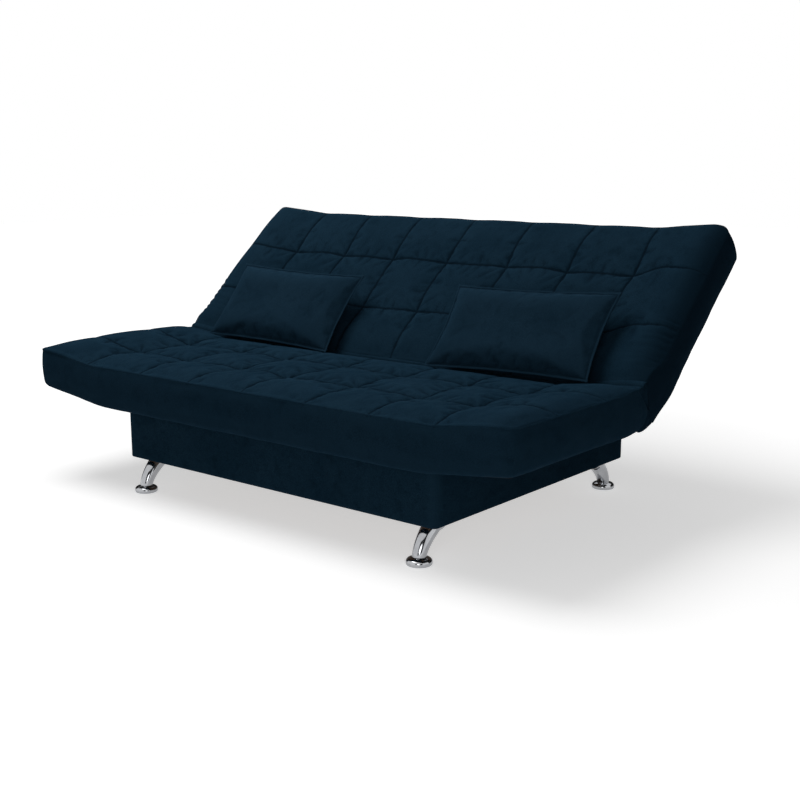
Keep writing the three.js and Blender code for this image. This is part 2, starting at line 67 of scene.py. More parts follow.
WING_START = 0.600  # half length of the straight middle of the seat's underside
WING_BLEND = 0.080  # over which the underside bends up into a wing
CURL_START = 0.640  # where the face starts to rise towards the end
WING_CURL = 0.026
FULL_RUN = 0.26  # length of the fuller stuffing at each end
EDGE_DROP = 0.020  # edge seam below the crown of the face
CROWN_RUN = 0.110  # edge seam to the level part of the face
LEFT_CROWN_RUN = 0.32  # length of the fuller left end
ROLL_RUN = 0.055  # width of the rolled ends
TUCK = 0.012  # how far the ends are drawn in beside the hinge
TUCK_RUN = 0.17
INNER_GAP = 0.004  # hinge axis to a pad's inner face
# slope of an inner face, so that the pads clear when upright
HALF_CLOSURE = UPRIGHT_ANGLE / 2 + math.radians(1)
OUTER_ROUND = 0.020  # lower edge of the front and the ends
INNER_ROUND = 0.022  # lower edge beside the hinge
COVER_INSET = 0.003  # a sewn cover starts this far inside its full form, and swells out to it
UNDER_INSET = 0.001
END_BULGE = 0.008
CREASE_OUT = 0.020  # about how far out from the hinge a face starts
TUFT_REACH = 0.050  # how far from a tuft the seams run deeper
SEAM_VALLEY = 0.0045  # width of the valley that a seam draws, and how much wider it is at a tuft
TUFT_VALLEY = 0.0055
SEAM_PULL = 0.45  # how much closer the grid runs beside a seam
CREASE_BLEND = 0.12  # over which the face's grid moves out to the inner edge
FACE_CELLS = (40, 38)  # grid cells between two seams, along and out
BAND_LEVELS = 20

LINING_START = 0.060  # hinge axis to the lining and the frame
LINING_MARGIN = 0.030
LINING_LAP = 0.003  # lining past the opening in the cover
LINING_THICKNESS = 0.0008
# depth, unevenness and level of a lining's sag, slight under the back so that it clears the bumpers
LINING_SAG = {"seat": (0.0020, 0.0012, 0.0012), "back": (0.0005, 0.0005, 0.0004)}
FOAM_INSET = 0.009
FRAME_TOP = 0.050  # frame's height over the underside of a pad

PILLOW_SIZE = (0.585, 0.312, 0.112)
PILLOW_LEANS = {"left": math.radians(9), "right": math.radians(8)}
PILLOW_TURNS = {"left": math.radians(-1), "right": math.radians(2)}
FLANGE = 0.010
CASE = (PILLOW_SIZE[0] - 2 * FLANGE, PILLOW_SIZE[1] - 2 * FLANGE)  # between the flange's stitches
PILLOW_CELLS = (104, 60)
PILLOW_SINK = 0.005  # how far a pillow settles into the back
PILLOW_CLEAR = 0.0012  # least gap between a pillow and a pad

SIDES = {"left": -1, "right": 1}
ENDS = {"front": -1, "rear": 1}


# ---- Meshes ----
def placed(name, data):
    """An object in the scene, at the origin."""
    thing = bpy.data.objects.new(name, data)
    bpy.context.scene.collection.objects.link(thing)
    return thing


def new_piece(name, points, faces=(), edges=(), smooth=True):
    """A mesh object at the origin."""
    mesh = bpy.data.meshes.new(name)
    mesh.from_pydata(np.asarray(points, float).tolist(), edges, faces)
    mesh.polygons.foreach_set("use_smooth", [smooth] * len(mesh.polygons))
    mesh.update()
    return placed(name, mesh)


def points_of(piece, kind="co"):
    """A mesh's points, or their normals."""
    values = np.empty(len(piece.data.vertices) * 3, np.float32)
    piece.data.vertices.foreach_get(kind, values)
    return values.reshape(-1, 3).astype(float)


def normals_of(piece):
    return points_of(piece, "normal")


def set_points(piece, points):
    piece.data.vertices.foreach_set("co", np.asarray(points, np.float32).ravel())
    piece.data.update()


def set_attribute(piece, name, values):
    """Stores one value a point, or the same value at every point."""
    attribute = piece.data.attributes.new(name, "FLOAT", "POINT")
    everywhere = np.broadcast_to(np.asarray(values, np.float32), len(piece.data.vertices))
    attribute.data.foreach_set("value", np.ascontiguousarray(everywhere))


def smooth_step(value):
    share = np.clip(value, 0, 1)
    return share * share * (3 - 2 * share)


def uneven(points, scale, seed=0.0):
    """A smooth random value between about -1 and 1 at each point of an array, whatever its shape."""
    places = points.reshape(-1, 3) * scale + [seed, 0, 0]
    return np.array([noise.noise(Vector(place)) for place in places]).reshape(points.shape[:-1])


def quads(number):
    """The corners of each cell of a grid of point numbers."""
    cells = np.stack([number[:-1, :-1], number[1:, :-1], number[1:, 1:], number[:-1, 1:]], -1)
    return cells.reshape(-1, 4).tolist()


def joined_round(number):
    """A grid of point numbers whose last column is followed by its first."""
    return np.hstack([number, number[:, :1]])


def outer_loop(number):
    """The point numbers round the edge of a grid."""
    return np.concatenate([number[:, 0], number[-1, 1:], number[-2::-1, -1], number[0, -2:0:-1]])


def fan(ring, centre):
    """Triangles from a ring of points to one in its middle."""
    return [(int(a), int(b), centre) for a, b in zip(ring, np.roll(ring, -1))]


def face_out(piece):
    """Turns a closed mesh's faces outwards."""
    points = points_of(piece)
    piece.data.calc_loop_triangles()
    corners = np.empty(len(piece.data.loop_triangles) * 3, np.int32)
    piece.data.loop_triangles.foreach_get("vertices", corners)
    a, b, c = points[corners.reshape(-1, 3)].transpose(1, 0, 2)
    if np.einsum("ij,ij->", a, np.cross(b, c)) < 0:
        piece.data.flip_normals()
    return piece


def sheet_between(name, upper, lower):
    """A thin closed sheet between two grids of points."""
    rows, count = upper.shape[:2]
    number = np.arange(rows * count).reshape(rows, count)
    rim = outer_loop(number)
    faces = quads(number) + [cell[::-1] for cell in quads(number + number.size)]
    faces += quads(joined_round(np.array([rim, rim + number.size])))
    points = np.concatenate([upper.reshape(-1, 3), lower.reshape(-1, 3)])
    return face_out(new_piece(name, points, faces))


def rounded_path(corners, radius, steps=6):
    """A path through corners, each but the first and last rounded with a few points."""
    corners = [np.array(corner, float) for corner in corners]
    path = [corners[0]]
    for before, corner, after in zip(corners, corners[1:], corners[2:]):
        to_before, to_after = before - corner, after - corner
        reach = min(radius, np.linalg.norm(to_before) * 0.45, np.linalg.norm(to_after) * 0.45)
        start = corner + to_before / np.linalg.norm(to_before) * reach
        stop = corner + to_after / np.linalg.norm(to_after) * reach
        for share in np.linspace(0, 1, steps):
            path.append((1 - share) ** 2 * start + 2 * share * (1 - share) * corner + share**2 * stop)
    return np.array([*path, corners[-1]])


def divided(path, step):
    """A path with points added so that none are further apart than about a step."""
    fine = [path[0]]
    for start, stop in zip(path, path[1:]):
        steps = max(1, round(float(np.linalg.norm(stop - start)) / step))
        fine.extend(start + (stop - start) * k / steps for k in range(1, steps + 1))
    return np.array(fine)


def lathe(name, profile, place, segments=64):
    """A closed turned piece from (radius, height) pairs that start and end on the axis."""
    turns = np.arange(segments) * 2 * np.pi / segments
    circle = np.stack([np.cos(turns), np.sin(turns), turns * 0], 1)
    rings = [circle * radius + [0, 0, height] for radius, height in profile[1:-1]]
    poles = [[0, 0, profile[0][1]], [0, 0, profile[-1][1]]]
    points = np.concatenate([*rings, poles]) + place
    number = np.arange(len(rings) * segments).reshape(len(rings), segments)
    faces = quads(joined_round(number))
    faces += fan(number[0], len(points) - 2) + fan(number[-1][::-1], len(points) - 1)
    return face_out(new_piece(name, points, faces))


def edge_lines(points, chains, closed=False):
    """A mesh of bare edges along chains of points, each joined up into a ring if closed."""
    lines, edges = [], []
    for chain in chains:
        first = len(lines)
        lines.extend(points[chain].tolist())
        edges.extend((first + k, first + k + 1) for k in range(len(chain) - 1))
        if closed:
            edges.append((first + len(chain) - 1, first))
    return new_piece("lines", lines, edges=edges)


def neighbour_mean(values, edges):
    """The mean of each point's neighbours along the edges."""
    a, b = edges.T
    count = np.bincount(edges.ravel(), minlength=len(values))
    sums = [np.bincount(a, one[b], len(one)) + np.bincount(b, one[a], len(one)) for one in values.T]
    return np.stack(sums, 1) / np.maximum(count, 1)[:, None]


def mark_relief(piece, passes=14, height=0.0016):
    """Stores how far each point stands out of the surface round it, from 0 in a hollow to 1 on a ridge."""
    edges = np.empty(len(piece.data.edges) * 2, np.int32)
    piece.data.edges.foreach_get("vertices", edges)
    points = points_of(piece)
    smoothed = points
    for _ in range(passes):
        smoothed = neighbour_mean(smoothed, edges.reshape(-1, 2))
    proud = np.einsum("ij,ij->i", points - smoothed, normals_of(piece))
    set_attribute(piece, "relief", 0.5 + 0.5 * np.clip(proud / height, -1, 1))


# ---- The pads' form ----
def in_pad(pad, points):
    """Points in a pad's own directions: along the sofa, out from the hinge, up out of the face."""
    away = points - HINGE
    return np.stack([points[:, 0], away @ pad.out, away @ pad.up], 1)


def from_pad(pad, x, out, up):
    """The reverse of in_pad."""
    return HINGE + np.outer(x, [1, 0, 0]) + np.outer(out, pad.out) + np.outer(up, pad.up)


def describe_pad(name, body, out, up, **words):
    """A pad's directions and sizes, measured on its cover in the frame."""
    pad = SimpleNamespace(name=name, body=body, out=np.array(out), up=np.array(up), gap=INNER_GAP, **words)
    cover = in_pad(pad, points_of(frame["nodes"][f"{name}_cover"]))
    middle = cover[np.abs(cover[:, 0]) < WING_START + 0.001]
    pad.half = cover[:, 0].max() - COVER_INSET
    pad.reach = cover[:, 1].max() - COVER_INSET
    pad.under = middle[:, 2].min() + UNDER_INSET
    pad.top = middle[:, 2].max() - COVER_INSET
    return pad


def under_lift(pad, x):
    """Rise of the underside towards the ends."""
    along = np.maximum(np.abs(x) - WING_START, 0)
    bend = pad.slope * along**2 / (2 * WING_BLEND)
    return np.where(along < WING_BLEND, bend, pad.slope * (along - WING_BLEND / 2))


def face_lift(pad, x):
    """Rise of the face towards its ends, which are also stuffed fuller."""
    curl = WING_CURL * (np.maximum(np.abs(x) - CURL_START, 0) / (pad.half - CURL_START)) ** 2
    from_end = np.clip((pad.half - np.abs(x)) / FULL_RUN, 0, 1)
    return curl + pad.full * np.sin(np.pi * from_end**0.7)


def inner_edge(pad, height):
    """How far from the hinge a pad's inner face lies at a height over it."""
    return pad.gap + np.maximum(height, 0) * math.tan(HALF_CLOSURE)


def crease_up(pad, x):
    """Height of a pad's inner edge over the hinge."""
    return pad.top - EDGE_DROP + face_lift(pad, x)


def crease_out(pad, x):
    """How far from the hinge that edge lies."""
    return inner_edge(pad, crease_up(pad, x))


def spread(stops, cells):
    """Grid lines between stops, closer together beside each stop."""
    share = np.arange(cells) / cells
    eased = share - SEAM_PULL * np.sin(2 * np.pi * share) / (2 * np.pi)
    runs = [start + (stop - start) * eased for start, stop in zip(stops, stops[1:])]
    return np.concatenate([*runs, stops[-1:]])


def stray(pad, along, k, turn):
    """How far the k-th seam strays sideways along its length."""
    phase = 2.4 * k + 1.7 * turn + pad.seed
    slow = np.sin(2 * np.pi * along / 0.46 + phase)
    quick = np.sin(2 * np.pi * along / 0.19 + 2.1 * phase)
    return pad.wander * (slow + 0.4 * quick)


def quilt_plan(pad, cells):
    """Plan of a face's grid, with every sewn line on a line of the grid."""
    stops_x = np.array([-pad.half, *pad.columns, pad.half])
    stops_out = np.array([inner_edge(pad, pad.top - EDGE_DROP), *pad.rows, pad.reach])
    even_x, even_out = np.meshgrid(spread(stops_x, cells[0]), spread(stops_out, cells[1]), indexing="ij")
    x, out = even_x.copy(), even_out.copy()
    for k in range(1, len(stops_x) - 1):
        x += np.interp(even_x, stops_x, np.eye(len(stops_x))[k]) * stray(pad, even_out, k, 0)
    rise = pad.row_rise * smooth_step((even_x - pad.columns[-1]) / 0.12)
    for k in range(1, len(stops_out) - 1):
        out += np.interp(even_out, stops_out, np.eye(len(stops_out))[k]) * (stray(pad, even_x, k, 1) + rise)
    columns = cells[0] * np.arange(1, len(stops_x) - 1)
    rows = cells[1] * np.arange(1, len(stops_out) - 1)
    to_column = np.min([np.abs(x - x[c][None, :]) for c in columns], 0)
    to_row = np.min([np.abs(out - out[:, r][:, None]) for r in rows], 0)
    to_tuft = np.min([np.hypot(x - x[c, r], out - out[c, r]) for c in columns for r in rows], 0)
    seam = np.minimum(to_column, to_row)
    return SimpleNamespace(x=x, out=out, columns=columns, rows=rows, seam=seam, tuft=to_tuft)


def quilt_depth(pad, plan):
    """How far the sewn lines and tufts draw the face down."""
    pulled = np.exp(-((plan.tuft / TUFT_REACH) ** 2))
    line = pad.seam_depth + (pad.tuft_depth - pad.seam_depth) * pulled
    valley = np.exp(-plan.seam / (SEAM_VALLEY + TUFT_VALLEY * pulled))
    dimple = 0.35 * pad.tuft_depth * np.exp(-plan.tuft / 0.04)
    to_edge = np.minimum(np.minimum(pad.half - np.abs(plan.x), pad.reach - plan.out), plan.out - CREASE_OUT)
    return (line * valley + dimple * (1 - valley)) * smooth_step(to_edge / 0.06)


def round_plan(pad, x, out):
    """Rounds the pad's outer corners as seen from above, and draws its ends in beside the hinge."""
    radius = np.where(x < 0, *pad.corners)
    across = radius - (pad.half - np.abs(x))
    along = radius - (pad.reach - out)
    both = np.minimum(across, along) > 0
    share = np.maximum(across, along) / np.maximum(np.hypot(across, along), 1e-9)
    rounded_x = np.where(both, np.sign(x) * (pad.half - radius + across * share), x)
    rounded_out = np.where(both, pad.reach - radius + along * share, out)
    at_end = smooth_step(1 - (pad.half - np.abs(x)) / 0.22) * smooth_step(1 - out / TUCK_RUN)
    return rounded_x - np.sign(x) * TUCK * at_end, rounded_out


def band_profile(share, straight, radius):
    """Depth below the edge seam, and inset, at a share of the way down a band with a rounded lower edge."""
    gone = share * (straight + radius * np.pi / 2)
    turn = np.clip((gone - straight) / radius, 0, np.pi / 2)
    return np.minimum(gone, straight) + radius * np.sin(turn), radius * (1 - np.cos(turn))


def band_rings(pad, edge, levels):
    """Rings of points from the edge seam down the bands to the underside."""
    crease = crease_out(pad, edge[:, 0])
    beside_hinge = smooth_step(1 - (edge[:, 1] - crease) / 0.1)
    height = edge[:, 2] - pad.under - under_lift(pad, np.abs(edge[:, 0]) - OUTER_ROUND)
    along = (edge[:, 1] - crease) / (pad.reach - crease)
    at_end = smooth_step((np.abs(edge[:, 0]) - pad.half + 0.03) / 0.02)
    rings = []
    for share in np.arange(1, levels + 1) / levels:
        outer_depth, outer_inset = band_profile(share, height - OUTER_ROUND, OUTER_ROUND)
        inner_depth, inner_inset = band_profile(share, height - INNER_ROUND, INNER_ROUND)
        inset = outer_inset + (inner_inset - outer_inset) * beside_hinge
        up = edge[:, 2] - outer_depth - (inner_depth - outer_depth) * beside_hinge
        near = inner_edge(pad, up) + inner_inset
        out = near + (pad.reach - outer_inset - near) * along
        bulge = np.sign(edge[:, 0]) * END_BULGE * at_end * math.sin(math.pi * min(1, 1.15 * share))
        rings.append(np.stack([edge[:, 0] * (1 - inset / pad.half) + bulge, out, up], 1))
    return rings


def underside(pad, rim, first, step=0.06):
    """Fills the rim of a pad's underside: the points that this adds, and triangles."""
    count = len(rim)
    x = np.arange(-pad.half + step, pad.half - step / 2, step)
    out = np.arange(rim[:, 1].min() + step, pad.reach - step * 0.7, step)
    inner = [Vector((a, b)) for a in x for b in out]
    border = [Vector(p[:2]) for p in rim]
    edges = [(i, (i + 1) % count) for i in range(count)]
    made, _, triangles, sources, _, _ = geometry.delaunay_2d_cdt(border + inner, edges, [], 1, 1e-7)
    number, added = [], []
    for spot, source in zip(made, sources):
        on_rim = bool(source) and min(source) < count
        number.append(first - count + min(source) if on_rim else first + len(added))
        if not on_rim:
            added.append([spot.x, spot.y, pad.under + float(under_lift(pad, spot.x))])
    return np.array(added), [tuple(number[k] for k in triangle[::-1]) for triangle in triangles]


def pad_shell(pad, name, cells, levels):
    """A pad's cover as one closed mesh of quilted face, bands and underside, with what its sewing needs."""
    plan = quilt_plan(pad, cells)
    x, out = round_plan(pad, plan.x, plan.out)
    crease = inner_edge(pad, pad.top - EDGE_DROP)
    from_end = pad.half - np.abs(x)
    to_edges = (from_end, pad.reach - out, out - crease)
    flat = np.prod([1 - np.clip(1 - near / CROWN_RUN, 0, 1) ** 2 for near in to_edges], 0)
    up = pad.top - EDGE_DROP * (1 - flat) + face_lift(pad, x) - quilt_depth(pad, plan)
    share = np.clip((out - CREASE_OUT) / (pad.reach - CREASE_OUT), 0, 1)
    up += pad.left_crown * np.sin(np.pi * share) * smooth_step(1 - (x + pad.half) / LEFT_CROWN_RUN)
    up -= pad.roll * np.clip(1 - from_end / ROLL_RUN, 0, 1) ** 2 * smooth_step((out - 0.05) / 0.10)
    out = out + (crease_out(pad, x) - crease) * smooth_step(1 - (out - crease) / CREASE_BLEND)
    face = np.stack([x, out, up], -1).reshape(-1, 3)
    number = np.arange(x.size).reshape(x.shape)
    loop = outer_loop(number)
    rings = band_rings(pad, face[loop], levels)
    below = len(face) + np.arange(levels * len(loop)).reshape(levels, -1)
    added, triangles = underside(pad, rings[-1], len(face) + below.size)
    points = np.concatenate([face, *rings, added])
    faces = quads(number) + quads(joined_round(np.vstack([loop, below]))) + triangles
    piece = face_out(new_piece(name, from_pad(pad, *points.T), faces))
    return piece, SimpleNamespace(plan=plan, number=number, loop=loop, below=below, points=points)


# ---- Finishes ----
class Tree:
    """A node tree whose nodes are made, set and linked in one call."""

    def __init__(self, tree):
        self.tree = tree

    def fill(self, socket, value):
        """Sets a socket, or links another node to it."""
        if isinstance(value, bpy.types.NodeSocket):
            self.tree.links.new(value, socket)
        else:
            socket.default_value = value

    def node(self, kind, inputs=None, output=0, **settings):
        """One output of a new node."""
        node = self.tree.nodes.new(kind)
        for setting, value in settings.items():
            setattr(node, setting, value)
        for socket, value in (inputs or {}).items():
            self.fill(node.inputs[socket], value)
        return node.outputs[output]

    def combine(self, operation, a, b):
        return self.node("ShaderNodeMath", {0: a, 1: b}, operation=operation)


class Finish(Tree):
    """One procedural material, built up on Object coordinates."""

    def __init__(self, name, values):
        self.material = bpy.data.materials.new(name)
        self.material.use_nodes = True
        super().__init__(self.material.node_tree)
        self.shader = self.tree.nodes["Principled BSDF"]
        for socket, value in values.items():
            self.shader.inputs[socket].default_value = value
        self.place = self.node("ShaderNodeTexCoord", output="Object")

    def turned(self, scale, turn=(0, 0, 0)):
        return self.node("ShaderNodeMapping", {"Vector": self.place, "Scale": scale, "Rotation": turn})

    def noise(self, scale, detail=2.0, roughness=0.5, place=None, distortion=0.0):
        sizes = {"Scale": scale, "Detail": detail, "Roughness": roughness, "Distortion": distortion}
        return self.node("ShaderNodeTexNoise", {"Vector": place or self.place, **sizes})

    def cells(self, scale, place=None, randomness=1.0):
        inputs = {"Vector": place or self.place, "Scale": scale, "Randomness": randomness}
        return self.node("ShaderNodeTexVoronoi", inputs)

    def attribute(self, name):
        return self.node("ShaderNodeAttribute", output="Fac", attribute_name=name)

    def between(self, value, low, high, to_low=0.0, to_high=1.0, **settings):
        limits = {"Value": value, "From Min": low, "From Max": high, "To Min": to_low, "To Max": to_high}
        return self.node("ShaderNodeMapRange", limits, **settings)

    def mix(self, share, a, b):
        return self.node("ShaderNodeMix", {0: share, 6: a, 7: b}, 2, data_type="RGBA")

    def bump(self, height, depth, strength=1.0, onto=None):
        inputs = {"Height": height, "Distance": depth, "Strength": strength}
        if onto:
            inputs["Normal"] = onto
        return self.node("ShaderNodeBump", inputs)

    def done(self, colour, roughness, normal):
        for socket, value in (("Base Color", colour), ("Roughness", roughness), ("Normal", normal)):
            self.fill(self.shader.inputs[socket], value)
        return self.material


def shade(*colour):
    return (*colour, 1.0)


def velvet_finish(name, deep, plain, brushed):
    """Short-piled cloth: brushed patches, streaks along the pile, painted shade in the seams, hollows, ends and
    bands, and lighter ridges.
    """
    cloth = Finish(
        name,
        {
            "Specular IOR Level": 0.006,
            "Sheen Weight": 0.03,
            "Sheen Roughness": 0.42,
            "Sheen Tint": shade(0.16, 0.52, 1.0),
            "Diffuse Roughness": 0.6,
        },
    )
    patches = cloth.noise(6.5, 3, 0.55, distortion=0.6)
    streaks = cloth.noise(1.0, 4, 0.6, cloth.turned((34, 16, 34), (0.2, 0.1, 0.7)))
    pile = cloth.noise(330, 3, 0.65)
    fibres = cloth.noise(1150, 2, 0.6)
    relief = cloth.attribute("relief")
    colour = cloth.mix(cloth.between(patches, 0.36, 0.66), plain, brushed)
    colour = cloth.mix(cloth.between(streaks, 0.52, 0.74, 0, 0.38), colour, deep)
    colour = cloth.mix(cloth.between(pile, 0.34, 0.68, 0, 0.55), colour, deep)
    colour = cloth.mix(cloth.between(fibres, 0.56, 0.8, 0, 0.35), colour, brushed)
    # painted shade in the hollows; the ridges lighter
    colour = cloth.mix(cloth.between(relief, 0.46, 0.1, 0, 0.5), colour, deep)
    colour = cloth.mix(cloth.between(relief, 0.56, 0.95, 0, 0.45), colour, brushed)
    # painted shade from the attribute: seam valleys, ends and bands drawn towards the deep colour
    colour = cloth.mix(cloth.between(cloth.attribute("painted_shade"), 0, 1, 0, 0.8), colour, deep)
    coarse = cloth.bump(pile, 0.0009, 0.55)
    fine = cloth.bump(fibres, 0.0003, 0.5, coarse)
    return cloth.done(colour, cloth.between(streaks, 0.3, 0.7, 0.72, 0.95), fine)


def lining_finish():
    """Spun-bonded black lining, pressed in a grid of dots, with a little dust."""
    cloth = Finish("lining_cloth", {"Specular IOR Level": 0.25})
    dots = cloth.cells(420.0, randomness=0.15)
    fibres = cloth.noise(240, 5, 0.7, distortion=1.2)
    dust = cloth.noise(9, 4, 0.6)
    dark, light = shade(0.006, 0.006, 0.007), shade(0.016, 0.016, 0.018)
    colour = cloth.mix(cloth.between(fibres, 0.35, 0.7), dark, light)
    colour = cloth.mix(cloth.between(dust, 0.5, 0.75, 0, 0.35), colour, shade(0.04, 0.038, 0.035))
    pressed = cloth.bump(cloth.between(dots, 0.0, 0.45), 0.0004, 0.6)
    rough = cloth.between(fibres, 0.3, 0.7, 0.65, 0.9)
    return cloth.done(colour, rough, cloth.bump(fibres, 0.0003, 0.5, pressed))


def foam_finish():
    """Open-celled foam, yellowed in places."""
    foam = Finish("foam", {"Specular IOR Level": 0.2, "Subsurface Weight": 0.15, "Subsurface Scale": 0.01})
    cells = foam.cells(620.0)
    aged = foam.noise(7, 4, 0.6)
    colour = foam.mix(foam.between(aged, 0.35, 0.7), shade(0.62, 0.55, 0.38), shade(0.52, 0.42, 0.23))
    colour = foam.mix(foam.between(cells, 0.0, 0.5, 0.4, 0), colour, shade(0.3, 0.24, 0.13))
    return foam.done(colour, foam.between(aged, 0.3, 0.7, 0.85, 0.97), foam.bump(cells, 0.0006, 0.7))


def timber_finish():
    """Sawn softwood, with growth rings drawn out along the board and a few knots."""
    wood = Finish("timber", {"Specular IOR Level": 0.3})
    along = wood.turned((1.3, 26, 26))
    rings = wood.noise(3.2, 4, 0.55, along, 1.1)
    pores = wood.noise(60, 3, 0.7, along)
    knots = wood.cells(1.6, wood.turned((2.2, 7, 7)))
    colour = wood.mix(wood.between(rings, 0.38, 0.62), shade(0.55, 0.37, 0.19), shade(0.36, 0.205, 0.09))
    colour = wood.mix(wood.between(pores, 0.52, 0.75, 0, 0.4), colour, shade(0.2, 0.105, 0.045))
    colour = wood.mix(wood.between(knots, 0.1, 0.04, 0, 0.75), colour, shade(0.12, 0.055, 0.022))
    sawn = wood.bump(wood.noise(1.0, 2, 0.5, wood.turned((900, 40, 40))), 0.0003, 0.35)
    return wood.done(colour, wood.between(pores, 0.3, 0.7, 0.55, 0.78), wood.bump(rings, 0.0004, 0.5, sawn))


def hardboard_finish():
    """Pressed brown board: matted fibres with a smooth, slightly blotched face."""
    board = Finish("hardboard", {"Specular IOR Level": 0.35})
    fibres = board.noise(170, 5, 0.7, board.turned((1, 0.45, 1)), 1.5)
    blotches = board.noise(8, 3, 0.5)
    colour = board.mix(board.between(fibres, 0.35, 0.68), shade(0.105, 0.055, 0.027), shade(0.2, 0.115, 0.06))
    colour = board.mix(board.between(blotches, 0.5, 0.75, 0, 0.4), colour, shade(0.08, 0.042, 0.022))
    return board.done(colour, board.between(fibres, 0.3, 0.7, 0.4, 0.62), board.bump(fibres, 0.0003, 0.5))


def chrome_finish():
    """Bright plating with faint polishing lines and a light haze."""
    chrome = Finish("chrome", {"Metallic": 1.0})
    lines = chrome.noise(1.0, 3, 0.6, chrome.turned((220, 220, 18)))
    haze = chrome.noise(28, 4, 0.6)
    colour = chrome.mix(chrome.between(haze, 0.4, 0.7), shade(0.46, 0.47, 0.49), shade(0.37, 0.38, 0.40))
    hazy = chrome.between(haze, 0.45, 0.8, 0.09, 0.19)
    roughness = chrome.combine("ADD", hazy, chrome.between(lines, 0.4, 0.8, 0, 0.04))
    return chrome.done(colour, roughness, chrome.bump(lines, 0.00006, 0.3))


def steel_finish():
    """Plain rolled steel with a thin dark oxide in patches and brighter rolling lines."""
    steel = Finish("spring_steel", {"Metallic": 1.0})
    rolled = steel.noise(1.0, 3, 0.6, steel.turned((420, 46, 46)))
    stains = steel.noise(36, 4, 0.65)
    colour = steel.mix(steel.between(stains, 0.35, 0.7), shade(0.36, 0.36, 0.37), shade(0.17, 0.165, 0.16))
    colour = steel.mix(steel.between(rolled, 0.5, 0.8, 0, 0.4), colour, shade(0.5, 0.5, 0.51))
    return steel.done(colour, steel.between(stains, 0.3, 0.75, 0.28, 0.5), steel.bump(rolled, 0.0001, 0.4))


def rubber_finish():
    """Moulded black rubber with a dusty bloom."""
    rubber = Finish("rubber", {"Specular IOR Level": 0.35})
    grain = rubber.noise(700, 3, 0.6)
    bloom = rubber.noise(60, 4, 0.6)
    clean, dusty = shade(0.011, 0.011, 0.012), shade(0.03, 0.029, 0.028)
    colour = rubber.mix(rubber.between(bloom, 0.45, 0.75), clean, dusty)
    return rubber.done(colour, rubber.between(bloom, 0.3, 0.7, 0.55, 0.8), rubber.bump(grain, 0.0002, 0.5))


def thread_finish():
    """Twisted sewing thread a shade darker than the cloth."""
    thread = Finish("thread", {"Specular IOR Level": 0.05})
    wave = {"Vector": thread.place, "Scale": 380.0, "Distortion": 2.0}
    twist = thread.node("ShaderNodeTexWave", wave, "Fac", bands_direction="DIAGONAL")
    colour = thread.mix(twist, shade(0.0014, 0.0045, 0.0085), shade(0.0040, 0.0120, 0.0215))
    return thread.done(colour, thread.between(twist, 0, 1, 0.8, 0.95), thread.bump(twist, 0.0002, 0.6))


FINISHES = {
    "velvet_cover": velvet_finish(
        "velvet_cover",
        deep=shade(0.0030, 0.0095, 0.0170),
        plain=shade(0.0088, 0.0290, 0.0510),
        brushed=shade(0.0125, 0.0375, 0.0640),
    ),
    "pillow_cloth": velvet_finish(
        "pillow_cloth",
        deep=shade(0.0046, 0.0150, 0.0265),
        plain=shade(0.0106, 0.0315, 0.0540),
        brushed=shade(0.0140, 0.0390, 0.0660),
    ),
    "lining_cloth": lining_finish(),
    "foam": foam_finish(),
    "timber": timber_finish(),
    "hardboard": hardboard_finish(),
    "chrome": chrome_finish(),
    "spring_steel": steel_finish(),
    "rubber": rubber_finish(),
    "thread": thread_finish(),
}


def dress(piece, finish, body=None, replaced=()):
    """Gives a piece its finish in its own slot and its body, and hides the nodes that it stands for."""
    piece.data.materials.clear()
    piece.data.materials.append(FINISHES[finish])
    if body:
        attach(piece, body)
    if replaced:
        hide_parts(*replaced)


for subpart in frame["record"]["subparts"]:
    node = frame["nodes"][subpart["node"]]
    if not node.material_slots:
        node.data.materials.append(None)
    for slot in node.material_slots:
        slot.material = FINISHES[subpart["material_slot"]]


